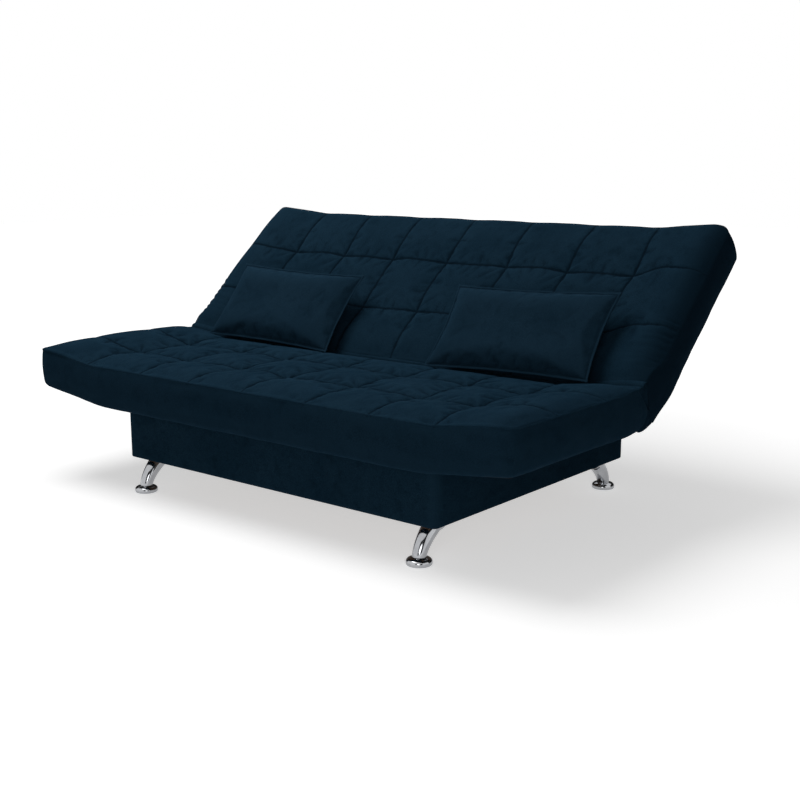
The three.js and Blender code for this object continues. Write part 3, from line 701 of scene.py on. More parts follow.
# ---- Things that repeat or follow a line ----
class Growth(Tree):
    """A Geometry Nodes tree with named sizes, run on a source mesh and kept as a plain piece."""

    def __init__(self, name, sizes):
        super().__init__(bpy.data.node_groups.new(name, "GeometryNodeTree"))
        self.tree.interface.new_socket("Source", in_out="INPUT", socket_type="NodeSocketGeometry")
        self.tree.interface.new_socket("Made", in_out="OUTPUT", socket_type="NodeSocketGeometry")
        self.identifiers = {}
        for size, value in sizes.items():
            kind = {int: "NodeSocketInt", float: "NodeSocketFloat", tuple: "NodeSocketVector"}[type(value)]
            socket = self.tree.interface.new_socket(size, in_out="INPUT", socket_type=kind)
            socket.default_value = value
            self.identifiers[size] = socket.identifier
        self.given = self.tree.nodes.new("NodeGroupInput").outputs
        self.made = self.tree.nodes.new("NodeGroupOutput").inputs["Made"]

    def ends_in(self, geometry, finish):
        """Makes everything real and smooth, and gives it its finish."""
        real = self.node("GeometryNodeRealizeInstances", {"Geometry": geometry})
        smooth = self.node("GeometryNodeSetShadeSmooth", {"Geometry": real})
        finished = self.node("GeometryNodeSetMaterial", {"Geometry": smooth, "Material": FINISHES[finish]})
        self.fill(self.made, finished)
        return self

    def run(self, name, source, **sizes):
        """The tree's result on a source mesh, which is used up."""
        modifier = source.modifiers.new("Growth", "NODES")
        modifier.node_group = self.tree
        for size, value in sizes.items():
            modifier[self.identifiers[size]] = value
        graph = bpy.context.evaluated_depsgraph_get()
        mesh = bpy.data.meshes.new_from_object(source.evaluated_get(graph), depsgraph=graph)
        source.modifiers.remove(modifier)
        bpy.data.objects.remove(source)
        mesh.name = name
        return placed(name, mesh)

    def lines(self):
        return self.node("GeometryNodeMeshToCurve", {"Mesh": self.given["Source"]})

    def half(self, size):
        return self.combine("MULTIPLY", self.given[size], 0.5)

    def ring(self, sides, radius):
        return self.node("GeometryNodeCurvePrimitiveCircle", {"Resolution": sides, "Radius": radius})

    def bow(self, points, start, middle, end):
        inputs = {"Resolution": points, "Start": start, "Middle": middle, "End": end}
        return self.node("GeometryNodeCurveQuadraticBezier", inputs)

    def tube(self, line, ring, **inputs):
        inputs = {"Curve": line, "Profile Curve": ring, "Fill Caps": True, **inputs}
        return self.node("GeometryNodeCurveToMesh", inputs)

    def copies(self, spots, shape, **inputs):
        return self.node("GeometryNodeInstanceOnPoints", {"Points": spots, "Instance": shape, **inputs})

    def along_lines(self, shape):
        """Copies of a small shape at even steps along the source's lines, turned to follow them."""
        steps = {"Curve": self.lines(), "Length": self.given["Step"]}
        spots = self.node("GeometryNodeResampleCurve", steps, mode="LENGTH")
        along = self.node("GeometryNodeInputTangent")
        turn = self.node("FunctionNodeAlignRotationToVector", {"Vector": along}, axis="X")
        sizes = {2: 0.86, 3: 1.12, "Seed": self.given["Seed"]}
        size = self.node("FunctionNodeRandomValue", sizes, 1, data_type="FLOAT")
        return self.copies(spots, shape, Rotation=turn, Scale=size)


def stitch_growth():
    """Short stitches along a line."""
    growth = Growth("stitches", {"Step": 0.0056, "Stitch": 0.0040, "Thread": 0.0006, "Seed": 5})
    ball = growth.node("GeometryNodeMeshUVSphere", {"Segments": 5, "Rings": 4, "Radius": 1.0})
    thread = growth.given["Thread"]
    size = growth.node("ShaderNodeCombineXYZ", {"X": growth.half("Stitch"), "Y": thread, "Z": thread})
    stitch = growth.node("GeometryNodeTransform", {"Geometry": ball, "Scale": size})
    return growth.ends_in(growth.along_lines(stitch), "thread")


def staple_growth():
    """Bowed wire staples along a line."""
    growth = Growth("staples", {"Step": 0.042, "Crown": 0.010, "Wire": 0.0006, "Seed": 9})
    right = growth.half("Crown")
    left = growth.combine("MULTIPLY", right, -1.0)
    start, end = (growth.node("ShaderNodeCombineXYZ", {"X": x, "Z": 0.0016}) for x in (left, right))
    staple = growth.tube(growth.bow(6, start, (0, 0, -0.0024), end), growth.ring(5, growth.given["Wire"]))
    return growth.ends_in(growth.along_lines(staple), "spring_steel")


def welt_growth():
    """A round welt along a line."""
    growth = Growth("welt", {"Radius": 0.0021})
    return growth.ends_in(growth.tube(growth.lines(), growth.ring(8, growth.given["Radius"])), "velvet_cover")


def leg_growth():
    """A tube on a bent line that widens towards its plate, cut off level at both ends."""
    origin = (0.0, 0.0, 0.0)
    sizes = {"Foot": origin, "Bend": origin, "Top": origin}
    sizes.update({"Foot radius": 0.020, "Top radius": 0.028, "Flare": 0.005})
    growth = Growth("leg", sizes)
    given = growth.given
    share = growth.node("GeometryNodeSplineParameter", output="Factor")
    taper = {"Value": share, "To Min": given["Foot radius"], "To Max": given["Top radius"]}
    flare = {"Value": share, "From Min": 0.80, "From Max": 1.0, "To Max": given["Flare"]}
    width = growth.combine(
        "ADD",
        growth.node("ShaderNodeMapRange", taper),
        growth.node("ShaderNodeMapRange", flare, interpolation_type="SMOOTHERSTEP"),
    )
    line = growth.bow(44, given["Foot"], given["Bend"], given["Top"])
    tube = growth.tube(line, growth.ring(56, 1.0), Scale=width)

    def split(place):
        return growth.node("ShaderNodeSeparateXYZ", {0: place}).node.outputs

    x, y, z = split(growth.node("GeometryNodeInputPosition"))
    limits = {"Value": z, "Min": split(given["Foot"])[2], "Max": split(given["Top"])[2]}
    cut = growth.node("ShaderNodeCombineXYZ", {"X": x, "Y": y, "Z": growth.node("ShaderNodeClamp", limits)})
    standing = growth.node("GeometryNodeSetPosition", {"Geometry": tube, "Position": cut})
    return growth.ends_in(standing, "chrome")


def screw_growth():
    """A round screw head at each point."""
    growth = Growth("screws", {"Head": 0.0042})
    ball = {"Segments": 12, "Rings": 6, "Radius": growth.given["Head"]}
    dome = growth.node("GeometryNodeMeshUVSphere", ball)
    head = growth.node("GeometryNodeTransform", {"Geometry": dome, "Scale": (1, 1, 0.45)})
    return growth.ends_in(growth.copies(growth.given["Source"], head), "spring_steel")


stitches = stitch_growth()
staples = staple_growth()
welts = welt_growth()
legs = leg_growth()
screws = screw_growth()


# ---- Cloth ----
FRAMES = 20
CLOTH = {
    "quality": 4,
    "mass": 0.3,
    "tension_stiffness": 40,
    "compression_stiffness": 40,
    "shear_stiffness": 10,
    "bending_stiffness": 0.5,
    "air_damping": 2,
}
WEIGHT_STEPS = 40


def add_group(piece, name, weights):
    """A vertex group, with its weights rounded so that few calls fill it."""
    group = piece.vertex_groups.new(name=name)
    rounded = np.round(np.clip(weights, 0, 1) * WEIGHT_STEPS) / WEIGHT_STEPS
    for weight in np.unique(rounded[rounded > 0]):
        group.add(np.flatnonzero(rounded == weight).tolist(), float(weight), "REPLACE")


def loosen(piece, held, taut, slack, pressure, most):
    """Readies a piece to swell: held is 1 where it is sewn fast, taut is 1 where no cloth is spare."""
    add_group(piece, "held", held)
    add_group(piece, "taut", taut)
    cloth = piece.modifiers.new("Cloth", "CLOTH")
    for setting, value in CLOTH.items():
        setattr(cloth.settings, setting, value)
    cloth.settings.vertex_group_mass = "held"
    cloth.settings.vertex_group_shrink = "taut"
    cloth.settings.shrink_min = -slack
    cloth.settings.shrink_max = 0
    cloth.settings.use_pressure = True
    cloth.settings.uniform_pressure_force = pressure
    cloth.settings.effector_weights.gravity = 0
    cloth.collision_settings.use_collision = False
    cloth.point_cache.frame_start = 1
    cloth.point_cache.frame_end = FRAMES
    return SimpleNamespace(piece=piece, most=most)


def swell(loose):
    """Runs the cloth of every piece together and keeps it, with no point moved further than its limit."""
    before = [points_of(item.piece) for item in loose]
    after = before
    for number in range(1, FRAMES + 1):
        bpy.context.scene.frame_set(number)
    graph = bpy.context.evaluated_depsgraph_get()
    after = [points_of(item.piece.evaluated_get(graph)) for item in loose]
    for item, start, stop in zip(loose, before, after):
        move = stop - start
        length = np.linalg.norm(move, axis=1, keepdims=True)
        item.piece.modifiers.clear()
        item.piece.vertex_groups.clear()
        set_points(item.piece, start + move * np.minimum(1, item.most / np.maximum(length, 1e-9)))
    bpy.context.scene.frame_set(1)


# ---- The two quilted pads ----
# columns and rows are the seams' places, wander how far the seams stray from them, and row_rise how far
# the rows bend outwards past the last column. seam_depth and tuft_depth are how far the sewing draws the
# face down. slack and plumpness loosen and lift the face between the seams, and pleats and gathers are its
# small folds. slope belongs to the underside's wings. full, left_crown and roll shape the ends of the face,
# and rucked gives the low and high limits and the depth of the folds that run in from them. corners are the
# radii of the outer corners, left and right. edge_hold is how fast the cloth is sewn at the edge, and the
# last two numbers are how much shade is painted on the ends and on the long bands.
seat = describe_pad(
    "seat", "base", (0, -1.0, 0), (0, 0, 1.0),
    columns=[-0.700, -0.455, -0.215, 0.010, 0.262, 0.500, 0.705],
    rows=[0.250, 0.475], wander=0.008, seed=0.4, row_rise=0.0,
    seam_depth=0.0055, tuft_depth=0.017, slack=0.009, plumpness=0.003, pleats=0.0022, gathers=0.0013,
    slope=0.12, full=0.009, left_crown=0.012, roll=0.0, rucked=(0.1, 0.2, 0.0), corners=(0.018, 0.018),
    edge_hold=1.0, welted=True, dark_ends=0.55, dark_bands=0.5,
)
back = describe_pad(
    "back", "back",
    (0, math.cos(BACK_ANGLE), math.sin(BACK_ANGLE)), (0, -math.sin(BACK_ANGLE), math.cos(BACK_ANGLE)),
    columns=[-0.705, -0.470, -0.232, 0.005, 0.250, 0.488, 0.722],
    rows=[0.225, 0.452], wander=0.003, seed=2.9, row_rise=0.026,
    seam_depth=0.0045, tuft_depth=0.015, slack=0.005, plumpness=0.002, pleats=0.0011, gathers=0.0006,
    slope=0.0, full=0.005, left_crown=0.011, roll=0.020, rucked=(0.08, 0.30, 0.0028), corners=(0.034, 0.022),
    edge_hold=0.3, welted=False, dark_ends=1.0, dark_bands=0.3,
)
PADS = (seat, back)
SOFT_HOLD = 0.04  # the foam's light hold on the cloth between the seams
HINGE_HOLD = 0.045  # nearer the hinge than this, the bands are held fast
PAD_PRESSURE = 0.45
PAD_SWELL = 0.024  # the furthest that a point of a cover moves
BAND_WAVES = ((9, 3.0, 0.0022), (26, 7.0, 0.0006))  # scale, seed and height of a band's unevenness
SEAM_LINE = 0.0035  # width of the painted shade along a seam
THREAD_LIFT = 0.0004
WELT_SINK = 0.0004


def crumple(pad, plan):
    """Small pleats round each tuft and across the seams, which the cloth then works on."""
    pleats = np.zeros(plan.x.shape)
    for column in plan.columns:
        for row in plan.rows:
            dx, dy = plan.x - plan.x[column, row], plan.out - plan.out[column, row]
            away = np.hypot(dx, dy)
            turn = np.arctan2(dy, dx)
            phase = 3.1 * column + 1.7 * row + pad.seed
            fan_out = np.sin(7 * turn + phase) + 0.5 * np.sin(12 * turn - 2 * phase)
            pleats += pad.pleats * fan_out * np.exp(-away / 0.04) * smooth_step(away / 0.012)
    beside = np.exp(-plan.seam / 0.02) * smooth_step(plan.seam / 0.004)
    spots = np.stack([plan.x, plan.out, np.full(plan.x.shape, pad.seed)], -1)
    return pleats + pad.gathers * uneven(spots, 34, pad.seed) * beside


def rucks(pad, plan):
    """Short folds running in from the ends, over part of the border."""
    low, high, depth = pad.rucked
    from_end = pad.half - np.abs(plan.x)
    window = smooth_step((plan.out - low) / 0.03) * smooth_step((high - plan.out) / 0.03)
    fold = np.sin(2 * np.pi * (plan.out + 0.06 * from_end) / 0.026 + 0.8 * np.sin(plan.out * 90))
    return depth * fold * window * np.exp(-from_end / 0.045) * smooth_step(from_end / 0.008)


def make_upholstery(pad):
    """A pad's quilted cover, ready to swell."""
    piece, sewn = pad_shell(pad, f"{pad.name}_upholstery", FACE_CELLS, BAND_LEVELS)
    seam = sewn.plan.seam.ravel()
    face = np.arange(len(sewn.points)) < len(seam)
    band = sewn.points[~face]
    held = np.full(len(face), SOFT_HOLD)
    held[: len(seam)][seam < 1e-6] = 1
    held[sewn.loop] = pad.edge_hold
    held[sewn.below[-1, 0] :] = 1
    held[~face & (sewn.points[:, 1] < HINGE_HOLD)] = 1
    taut = np.ones(len(face))
    taut[face] = smooth_step((seam - 0.012) / 0.07)
    shift = np.empty(len(face))
    folds = crumple(pad, sewn.plan) + rucks(pad, sewn.plan)
    shift[face] = folds.ravel() + pad.plumpness * smooth_step(seam / 0.09)
    shift[~face] = sum(uneven(band, scale, seed) * height for scale, seed, height in BAND_WAVES)
    set_points(piece, points_of(piece) + normals_of(piece) * (shift * (held < 1))[:, None])
    return piece, sewn, loosen(piece, held, taut, pad.slack, PAD_PRESSURE, PAD_SWELL)


def finish_upholstery(pad, piece, sewn):
    """Paints shade along the seams, on the face's right end and on the bands and ends, marks the relief, and sews
    the stitches and the welt.
    """
    points, normals = points_of(piece), normals_of(piece)
    face, band = np.split(sewn.points, [sewn.number.size])
    # painted shade: a dark line along each seam's valley, a ramp on the face's right end, and the bands and ends
    # darker
    seam = np.exp(-((sewn.plan.seam.ravel() / SEAM_LINE) ** 2))
    right_end_shade = 0.9 * pad.dark_ends * smooth_step(1 - (pad.half - face[:, 0]) / 0.10)
    beyond = smooth_step((np.abs(band[:, 0]) - pad.half + 0.030) / 0.012)
    bands = pad.dark_bands + (pad.dark_ends - pad.dark_bands) * beyond
    set_attribute(piece, "painted_shade", np.concatenate([np.maximum(seam, right_end_shade), bands]))
    mark_relief(piece)
    chains = [sewn.number[c, 2:-2] for c in sewn.plan.columns]
    chains += [sewn.number[2:-2, r] for r in sewn.plan.rows]
    thread = stitches.run(f"{pad.name}_stitching", edge_lines(points + normals * THREAD_LIFT, chains))
    dress(thread, "thread", pad.body)
    if pad.welted:
        edge = edge_lines(points - normals * WELT_SINK, [sewn.loop], closed=True)
        welt = welts.run(f"{pad.name}_edge_welt", edge)
        # painted shade: the welt a little darker
        set_attribute(welt, "painted_shade", 0.2)
        set_attribute(welt, "relief", 0.5)
        dress(welt, "velvet_cover", pad.body)
    dress(piece, "velvet_cover", pad.body, replaced=[f"{pad.name}_cover"])


def make_core(pad):
    """The foam under a pad's cover, dipping under the same seams."""
    core = SimpleNamespace(**vars(pad))
    core.half -= FOAM_INSET
    core.reach -= FOAM_INSET
    core.top -= FOAM_INSET
    core.under += FRAME_TOP
    core.gap += FOAM_INSET
    piece, _ = pad_shell(core, f"{pad.name}_foam_core", (8, 8), 4)
    dress(piece, "foam", pad.body, replaced=[f"{pad.name}_foam"])


# ---- Pillows ----
FLANGE_HOLD = 0.5
PILLOW_HOLD = 0.03
PILLOW_SLACK = 0.005
PILLOW_PRESSURE = 0.5
PILLOW_SWELL = 0.015
CROWDING = 1.35  # how much closer a case's grid runs near its seam
BOWED = (0.045, 0.06)  # how far the seams bow in between the corners, as shares of the half size
CROWN_SHARE = 0.90  # of the pillow's thickness, before it swells
RIPPLE = 0.0016  # height of the flange's waves


def make_pillow(side):
    """A pillow case lying flat on its own plane: two crowned faces and a flange, in one closed mesh."""
    even = [np.linspace(-1, 1, cells + 1) for cells in PILLOW_CELLS]
    u, v = np.meshgrid(*(np.sin(share * CROWDING) / math.sin(CROWDING) for share in even), indexing="ij")
    x = CASE[0] / 2 * u * (1 - BOWED[0] * (1 - v**2))
    y = CASE[1] / 2 * v * (1 - BOWED[1] * (1 - u**2))
    crown = (np.maximum(0, (1 - u**4) * (1 - v**4))) ** 0.62
    upper = np.stack([x, y, 0.0009 + (PILLOW_SIZE[2] / 2 * CROWN_SHARE) * crown], -1).reshape(-1, 3)
    number = np.arange(x.size).reshape(x.shape)
    loop = outer_loop(number)
    around = np.arange(len(loop))
    ripple = RIPPLE * np.sin(around * 0.37 + SIDES[side]) * np.sin(around * 0.11)
    widen = [(size / 2 + FLANGE) / (size / 2) - 1 for size in CASE]

    def flange_ring(share, half_thickness):
        ring = upper[loop] * [1 + widen[0] * share, 1 + widen[1] * share, 0]
        ring[:, 2] = half_thickness + ripple * share
        return ring

    flange = [(0.3, 0.0017), (0.75, 0.0016), (1.0, 0.0), (0.75, -0.0016), (0.3, -0.0017)]
    points = np.concatenate([upper, upper * [1, 1, -1], *(flange_ring(*ring) for ring in flange)])
    rings = 2 * x.size + np.arange(len(flange) * len(loop)).reshape(len(flange), -1)
    faces = []
    for cell in quads(number):
        faces += [cell, [corner + x.size for corner in cell[::-1]]]
    faces += quads(joined_round(np.vstack([loop, rings, loop + x.size])))

    on_face = np.arange(len(points)) < 2 * x.size
    to_seam = np.concatenate([np.minimum(CASE[0] / 2 - np.abs(x), CASE[1] / 2 - np.abs(y)).ravel()] * 2)
    near_seam = np.exp(-np.maximum(to_seam - 0.01, 0) / 0.04)
    wrinkle = uneven(points[on_face], 20, 2.0 + SIDES[side]) * 0.0007 * near_seam
    points[on_face, 2] += wrinkle * np.sign(points[on_face, 2]) * smooth_step(to_seam / 0.02)
    piece = face_out(new_piece(f"pillow_{side}_case", points, faces))
    held = np.where(on_face, PILLOW_HOLD, FLANGE_HOLD)
    held[loop] = FLANGE_HOLD
    held[loop + x.size] = FLANGE_HOLD
    taut = np.ones(len(points))
    taut[on_face] = smooth_step((to_seam - 0.02) / 0.11)
    pillow = SimpleNamespace(side=side, loop=loop, on_face=on_face, to_seam=to_seam)
    return piece, pillow, loosen(piece, held, taut, PILLOW_SLACK, PILLOW_PRESSURE, PILLOW_SWELL)


def keep_out(points, pad, surface):
    """Moves the points that lie in a pad out through its face."""
    local = in_pad(pad, points)
    for k in np.flatnonzero(local[:, 2] < pad.top + 0.04):
        start = from_pad(pad, local[k : k + 1, 0], local[k : k + 1, 1], np.array([pad.top + 0.1]))[0]
        hit = surface.ray_cast(Vector(start), Vector(-pad.up), 0.2)[0]
        if hit is not None:
            floor = float((np.array(hit) - HINGE) @ pad.up) + PILLOW_CLEAR
            points[k] += pad.up * max(0, floor - local[k, 2])


def set_pillow(piece, pillow, surfaces):
    """Leans a pillow where its CAD solid lies, and keeps it out of both pads."""
    body = f"pillow_{pillow.side}"
    low, high = (np.array(corner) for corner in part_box(body))
    turn = Matrix.Rotation(BACK_ANGLE + PILLOW_LEANS[pillow.side], 3, "X")
    turn = turn @ Matrix.Rotation(PILLOW_TURNS[pillow.side], 3, "Z")
    points = points_of(piece) @ np.array(turn).T + (low + high) / 2 - back.out * PILLOW_SINK
    for pad, surface in zip(PADS, surfaces):
        keep_out(points, pad, surface)
    set_points(piece, points)
    # painted shade along the pillow's seam
    painted_shade = np.zeros(len(points))
    painted_shade[pillow.on_face] = np.exp(-((pillow.to_seam / 0.003) ** 2))
    set_attribute(piece, "painted_shade", painted_shade)
    mark_relief(piece)
    edge = edge_lines(points + normals_of(piece) * 0.0003, [pillow.loop], closed=True)
    dress(stitches.run(f"{body}_stitching", edge, Step=0.0045, Stitch=0.0032), "thread", body)
    dress(piece, "pillow_cloth", body, replaced=[body])


covers = [make_upholstery(pad) for pad in PADS]
cases = [make_pillow(side) for side in SIDES]
swell([loose for _, _, loose in covers + cases])

surfaces = []
for pad, (piece, sewn, _) in zip(PADS, covers):
    bpy.context.view_layer.update()
    surfaces.append(BVHTree.FromObject(piece, bpy.context.evaluated_depsgraph_get()))
    finish_upholstery(pad, piece, sewn)
    make_core(pad)
for piece, pillow, _ in cases:
    set_pillow(piece, pillow, surfaces)


# ---- Cloth across the hinge ----
HINGE_LEAN = BACK_ANGLE / 2  # the plane midway between the pads leans this far forward at rest
ACROSS = np.array([0, math.cos(HINGE_LEAN), math.sin(HINGE_LEAN)])
FOLD_END = seat.half - TUCK
STRIP_CUT = 0.044  # width of the strip in the fold when flat
STRIP_LAP = 0.003
STRIP_DEPTH = 0.012
STRIP_THICKNESS = 0.0016
GUSSET_CUT = (0.17, 0.16)
GUSSET_AREA = 0.0265
GUSSET_STAND = 0.001  # how far a gusset's edge stands out from the end of the fold
GUSSET_THICKNESS = 0.0022
GUSSET_PUFF = 0.0050
GUSSET_LIP = 0.016  # how far it turns in under the pads, and how much smaller it gets there
GUSSET_DRAWN = 0.006
GUSSET_OUTLINE = [  # degrees from straight up towards the rear, and the way from the hinge
    (-37, 0.080), (-29, 0.078), (-21, 0.070), (-13, 0.078), (-5, 0.080), (20, 0.070),
    (60, 0.066), (95, 0.079), (106, 0.085), (118, 0.075), (132, 0.064), (158, 0.057),
    (180, 0.059), (200, 0.066), (214, 0.073), (226, 0.077), (250, 0.070), (290, 0.066),
]


def round_hinge(x, radius, angle):
    """Points at a distance from the hinge axis and an angle from straight up towards the rear."""
    turned = np.stack([np.zeros_like(angle), np.sin(angle), np.cos(angle)], -1)
    points = HINGE + turned * np.asarray(radius)[..., None]
    points[..., 0] = x
    return points


def join_pads(piece, **cut):
    """Gives a sheet of cover cloth across the hinge its finish, and bakes its place into its points."""
    dress(piece, "velvet_cover")
    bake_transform(piece)


def make_crease():
    """The strip of cloth that lines the fold, from one pad's inner edge to the other's."""
    end = FOLD_END + STRIP_LAP
    x, share = np.meshgrid(np.linspace(-end, end, 240), np.linspace(0, 1, 21), indexing="ij")
    out, up = crease_out(seat, x), crease_up(seat, x)
    beside = np.degrees(np.arctan2(out, up)) + 1.5
    angle = np.radians(-beside + (2 * beside - math.degrees(BACK_ANGLE)) * share)
    wave = uneven(np.stack([x, share * 0.2, share * 0], -1), 17, 1.3)
    fold = np.exp(-np.abs(share - 0.5) / 0.14) - math.exp(-0.5 / 0.14)
    radius = np.hypot(out, up) - 0.0008 - STRIP_DEPTH * fold + 0.0018 * wave * np.sin(np.pi * share)
    shown, hidden = round_hinge(x, radius, angle), round_hinge(x, radius - STRIP_THICKNESS, angle)
    strip = sheet_between("crease_gusset", shown, hidden)
    set_attribute(strip, "painted_shade", 0)
    mark_relief(strip, 6)
    join_pads(strip, flat=(round(2 * end, 3), STRIP_CUT), held="folded")


def make_end_gusset(side):
    """The puckered cloth that closes the end of the fold and turns in under it."""
    sign = SIDES[side]
    rings, count = 18, 120
    angle = np.arange(count) * 2 * np.pi / count
    outline = np.interp(np.degrees(angle), *zip(*GUSSET_OUTLINE), period=360)
    for _ in range(2):
        outline = (np.roll(outline, 1) + 2 * outline + np.roll(outline, -1)) / 4
    share, turn = np.meshgrid(np.arange(1, rings + 1) / rings, angle, indexing="ij")
    radius = share * outline
    pleat = np.abs(np.sin(2.5 * turn + 0.6 + 0.5 * np.sin(3 * share))) ** 2.5
    creased = uneven(np.stack([radius * np.cos(turn), radius * np.sin(turn), share * 0], -1), 55, 4.0)
    puff = GUSSET_PUFF * ((1 - pleat) * np.sin(np.pi * share**0.8) + 1 - share**4)
    puff += 0.0020 * creased * (1 - share**6)
    degrees = np.degrees(turn)
    in_front = np.exp(-((((degrees + 201) % 360 - 180) / 26) ** 2))
    under_back = np.exp(-(((degrees - 155) / 46) ** 2))
    puff *= 0.30 + 0.70 * np.minimum(1, in_front + under_back)  # flatter where the pads' bands cover it
    plane = FOLD_END + GUSSET_STAND
    front = round_hinge(sign * (plane + puff), radius, turn)
    lip = []
    for a in np.radians([18, 36, 54, 72, 90]):
        inwards = np.full(count, sign * (plane - GUSSET_LIP * (1 - math.cos(a))))
        lip.append(round_hinge(inwards, outline - GUSSET_DRAWN * math.sin(a) ** 2, angle))
    outer = np.concatenate([front, lip])
    inner = outer.copy()
    inner[rings - 1] = HINGE + (inner[rings - 1] - HINGE) * [1, 0.97, 0.97]
    inner[rings:] = HINGE + (inner[rings:] - HINGE) * [1, 0.965, 0.965]
    inner[:rings, :, 0] -= sign * GUSSET_THICKNESS
    inner[rings:, :, 0] -= sign * 0.0010

    number = np.arange(len(outer) * count).reshape(len(outer), count)
    total = number.size + 1
    faces = quads(joined_round(number)) + fan(number[0], number.size)
    faces += [tuple(corner + total for corner in face[::-1]) for face in faces]
    faces += quads(joined_round(np.array([number[-1], number[-1] + total])))
    middle = HINGE + [[sign * (plane + GUSSET_PUFF), 0, 0]]
    points = [outer.reshape(-1, 3), middle, inner.reshape(-1, 3), middle - [[sign * GUSSET_THICKNESS, 0, 0]]]
    piece = face_out(new_piece(f"{side}_end_gusset", np.concatenate(points), faces))
    rearward = smooth_step(0.5 + ((points_of(piece) - HINGE) @ ACROSS) / 0.06)
    # painted shade on the gusset, from the seat's ends in front to the back's ends behind
    set_attribute(piece, "painted_shade", seat.dark_ends + (back.dark_ends - seat.dark_ends) * rearward)
    mark_relief(piece, 8)
    join_pads(piece, flat=GUSSET_CUT, area=GUSSET_AREA, held="stretched")


make_crease()
for side in SIDES:
    make_end_gusset(side)


# ---- The box's cloth ----
WRAP = 0.0032  # cloth and wadding over the boards
CLOTH_THICKNESS = 0.0012
BOX_ROUND = 0.013
HEM = 0.018  # turned in under the box
RIM_DROP = 0.022  # turned down inside the box
BOARD_PLAY = 0.0036  # cover and gaps beside a board
INNER_STAND = 0.0018  # the cloth off the boards' inner faces
HEM_STAPLES = (0.005, 0.0017)  # in from the hem's raw edge, and below the box


def plan_round(half_x, half_y, centre_y, radius, step=0.02):
    """Stations round a rectangle with rounded corners: places and outward directions."""
    places, directions = [], []
    corners = [(1, -1), (1, 1), (-1, 1), (-1, -1)]
    middles = [np.array([sx * (half_x - radius), centre_y + sy * (half_y - radius)]) for sx, sy in corners]
    for k, middle in enumerate(middles):
        for turn in np.radians(90 * (k - 1) + np.linspace(0, 90, 7)):
            direction = np.array([math.cos(turn), math.sin(turn)])
            places.append(middle + radius * direction)
            directions.append(direction)
        start, stop = places[-1], middles[(k + 1) % 4] + radius * direction
        steps = max(2, round(float(np.linalg.norm(stop - start)) / step))
        for share in np.arange(1, steps) / steps:
            places.append(start * (1 - share) + stop * share)
            directions.append(direction)
    return np.array(places), np.array(directions)


def make_box_cloth():
    """Cloth wrapped round the box, over its rim and under its lower edge, with a stapled hem."""
    (_, y0, z0), (x1, y1, z1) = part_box("base_cover")
    inside_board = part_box("base_floor")[1][0] - x1 + BOARD_PLAY - INNER_STAND
    rim, lower_edge = z1 + 0.0012, z0 - 0.0004
    section = [(inside_board, z1 - RIM_DROP), (inside_board, rim), (WRAP, rim), (WRAP, lower_edge)]
    outside = divided(rounded_path([*section, (-HEM, z0 - 0.0013)], 0.006), 0.008)
    slope = np.gradient(outside, axis=0)
    slope /= np.linalg.norm(slope, axis=1, keepdims=True)
    inside = outside + np.stack([slope[:, 1], -slope[:, 0]], 1) * CLOTH_THICKNESS
    places, directions = plan_round(x1 - WRAP, (y1 - y0) / 2 - WRAP, (y0 + y1) / 2, BOX_ROUND)

    def carried(section):
        """A section of the cloth at every station."""
        grid = np.zeros((len(places), len(section), 3))
        grid[..., :2] = places[:, None] + directions[:, None] * section[None, :, :1]
        grid[..., 2] = section[None, :, 1]
        return grid

    outer, inner = carried(outside), carried(inside)
    face = smooth_step((outer[..., 2] - z0) / 0.03) * smooth_step((z1 - outer[..., 2]) / 0.03)
    drift = uneven(outer, 5.0, 2.0) * 0.0011 + uneven(outer, 18, 6.0) * 0.00035
    outer[..., :2] += directions[:, None] * (drift * face)[..., None]
    loops = np.concatenate([outer, inner[:, ::-1]], 1)
    number = np.arange(loops[..., 0].size).reshape(loops.shape[:2])
    piece = face_out(new_piece("box_cloth", loops.reshape(-1, 3), quads(np.pad(number, (0, 1), "wrap"))))
    set_attribute(piece, "painted_shade", 0)
    mark_relief(piece, 6)
    dress(piece, "velvet_cover", "base", replaced=["base_cover"])
    hem = carried(np.array([[HEM_STAPLES[0] - HEM, z0 - HEM_STAPLES[1]]]))[:, 0]
    line = edge_lines(hem, [np.arange(len(hem))], closed=True)
    dress(staples.run("box_hem_staples", line, Step=0.055), "spring_steel", "base")


make_box_cloth()


# ---- Linings under the pads ----
OVER_BOX = (0.60, 0.53)  # half length and reach of the part of the seat's lining inside the box's boards
HEM_FOLD = 0.0004  # the lining's doubled edge


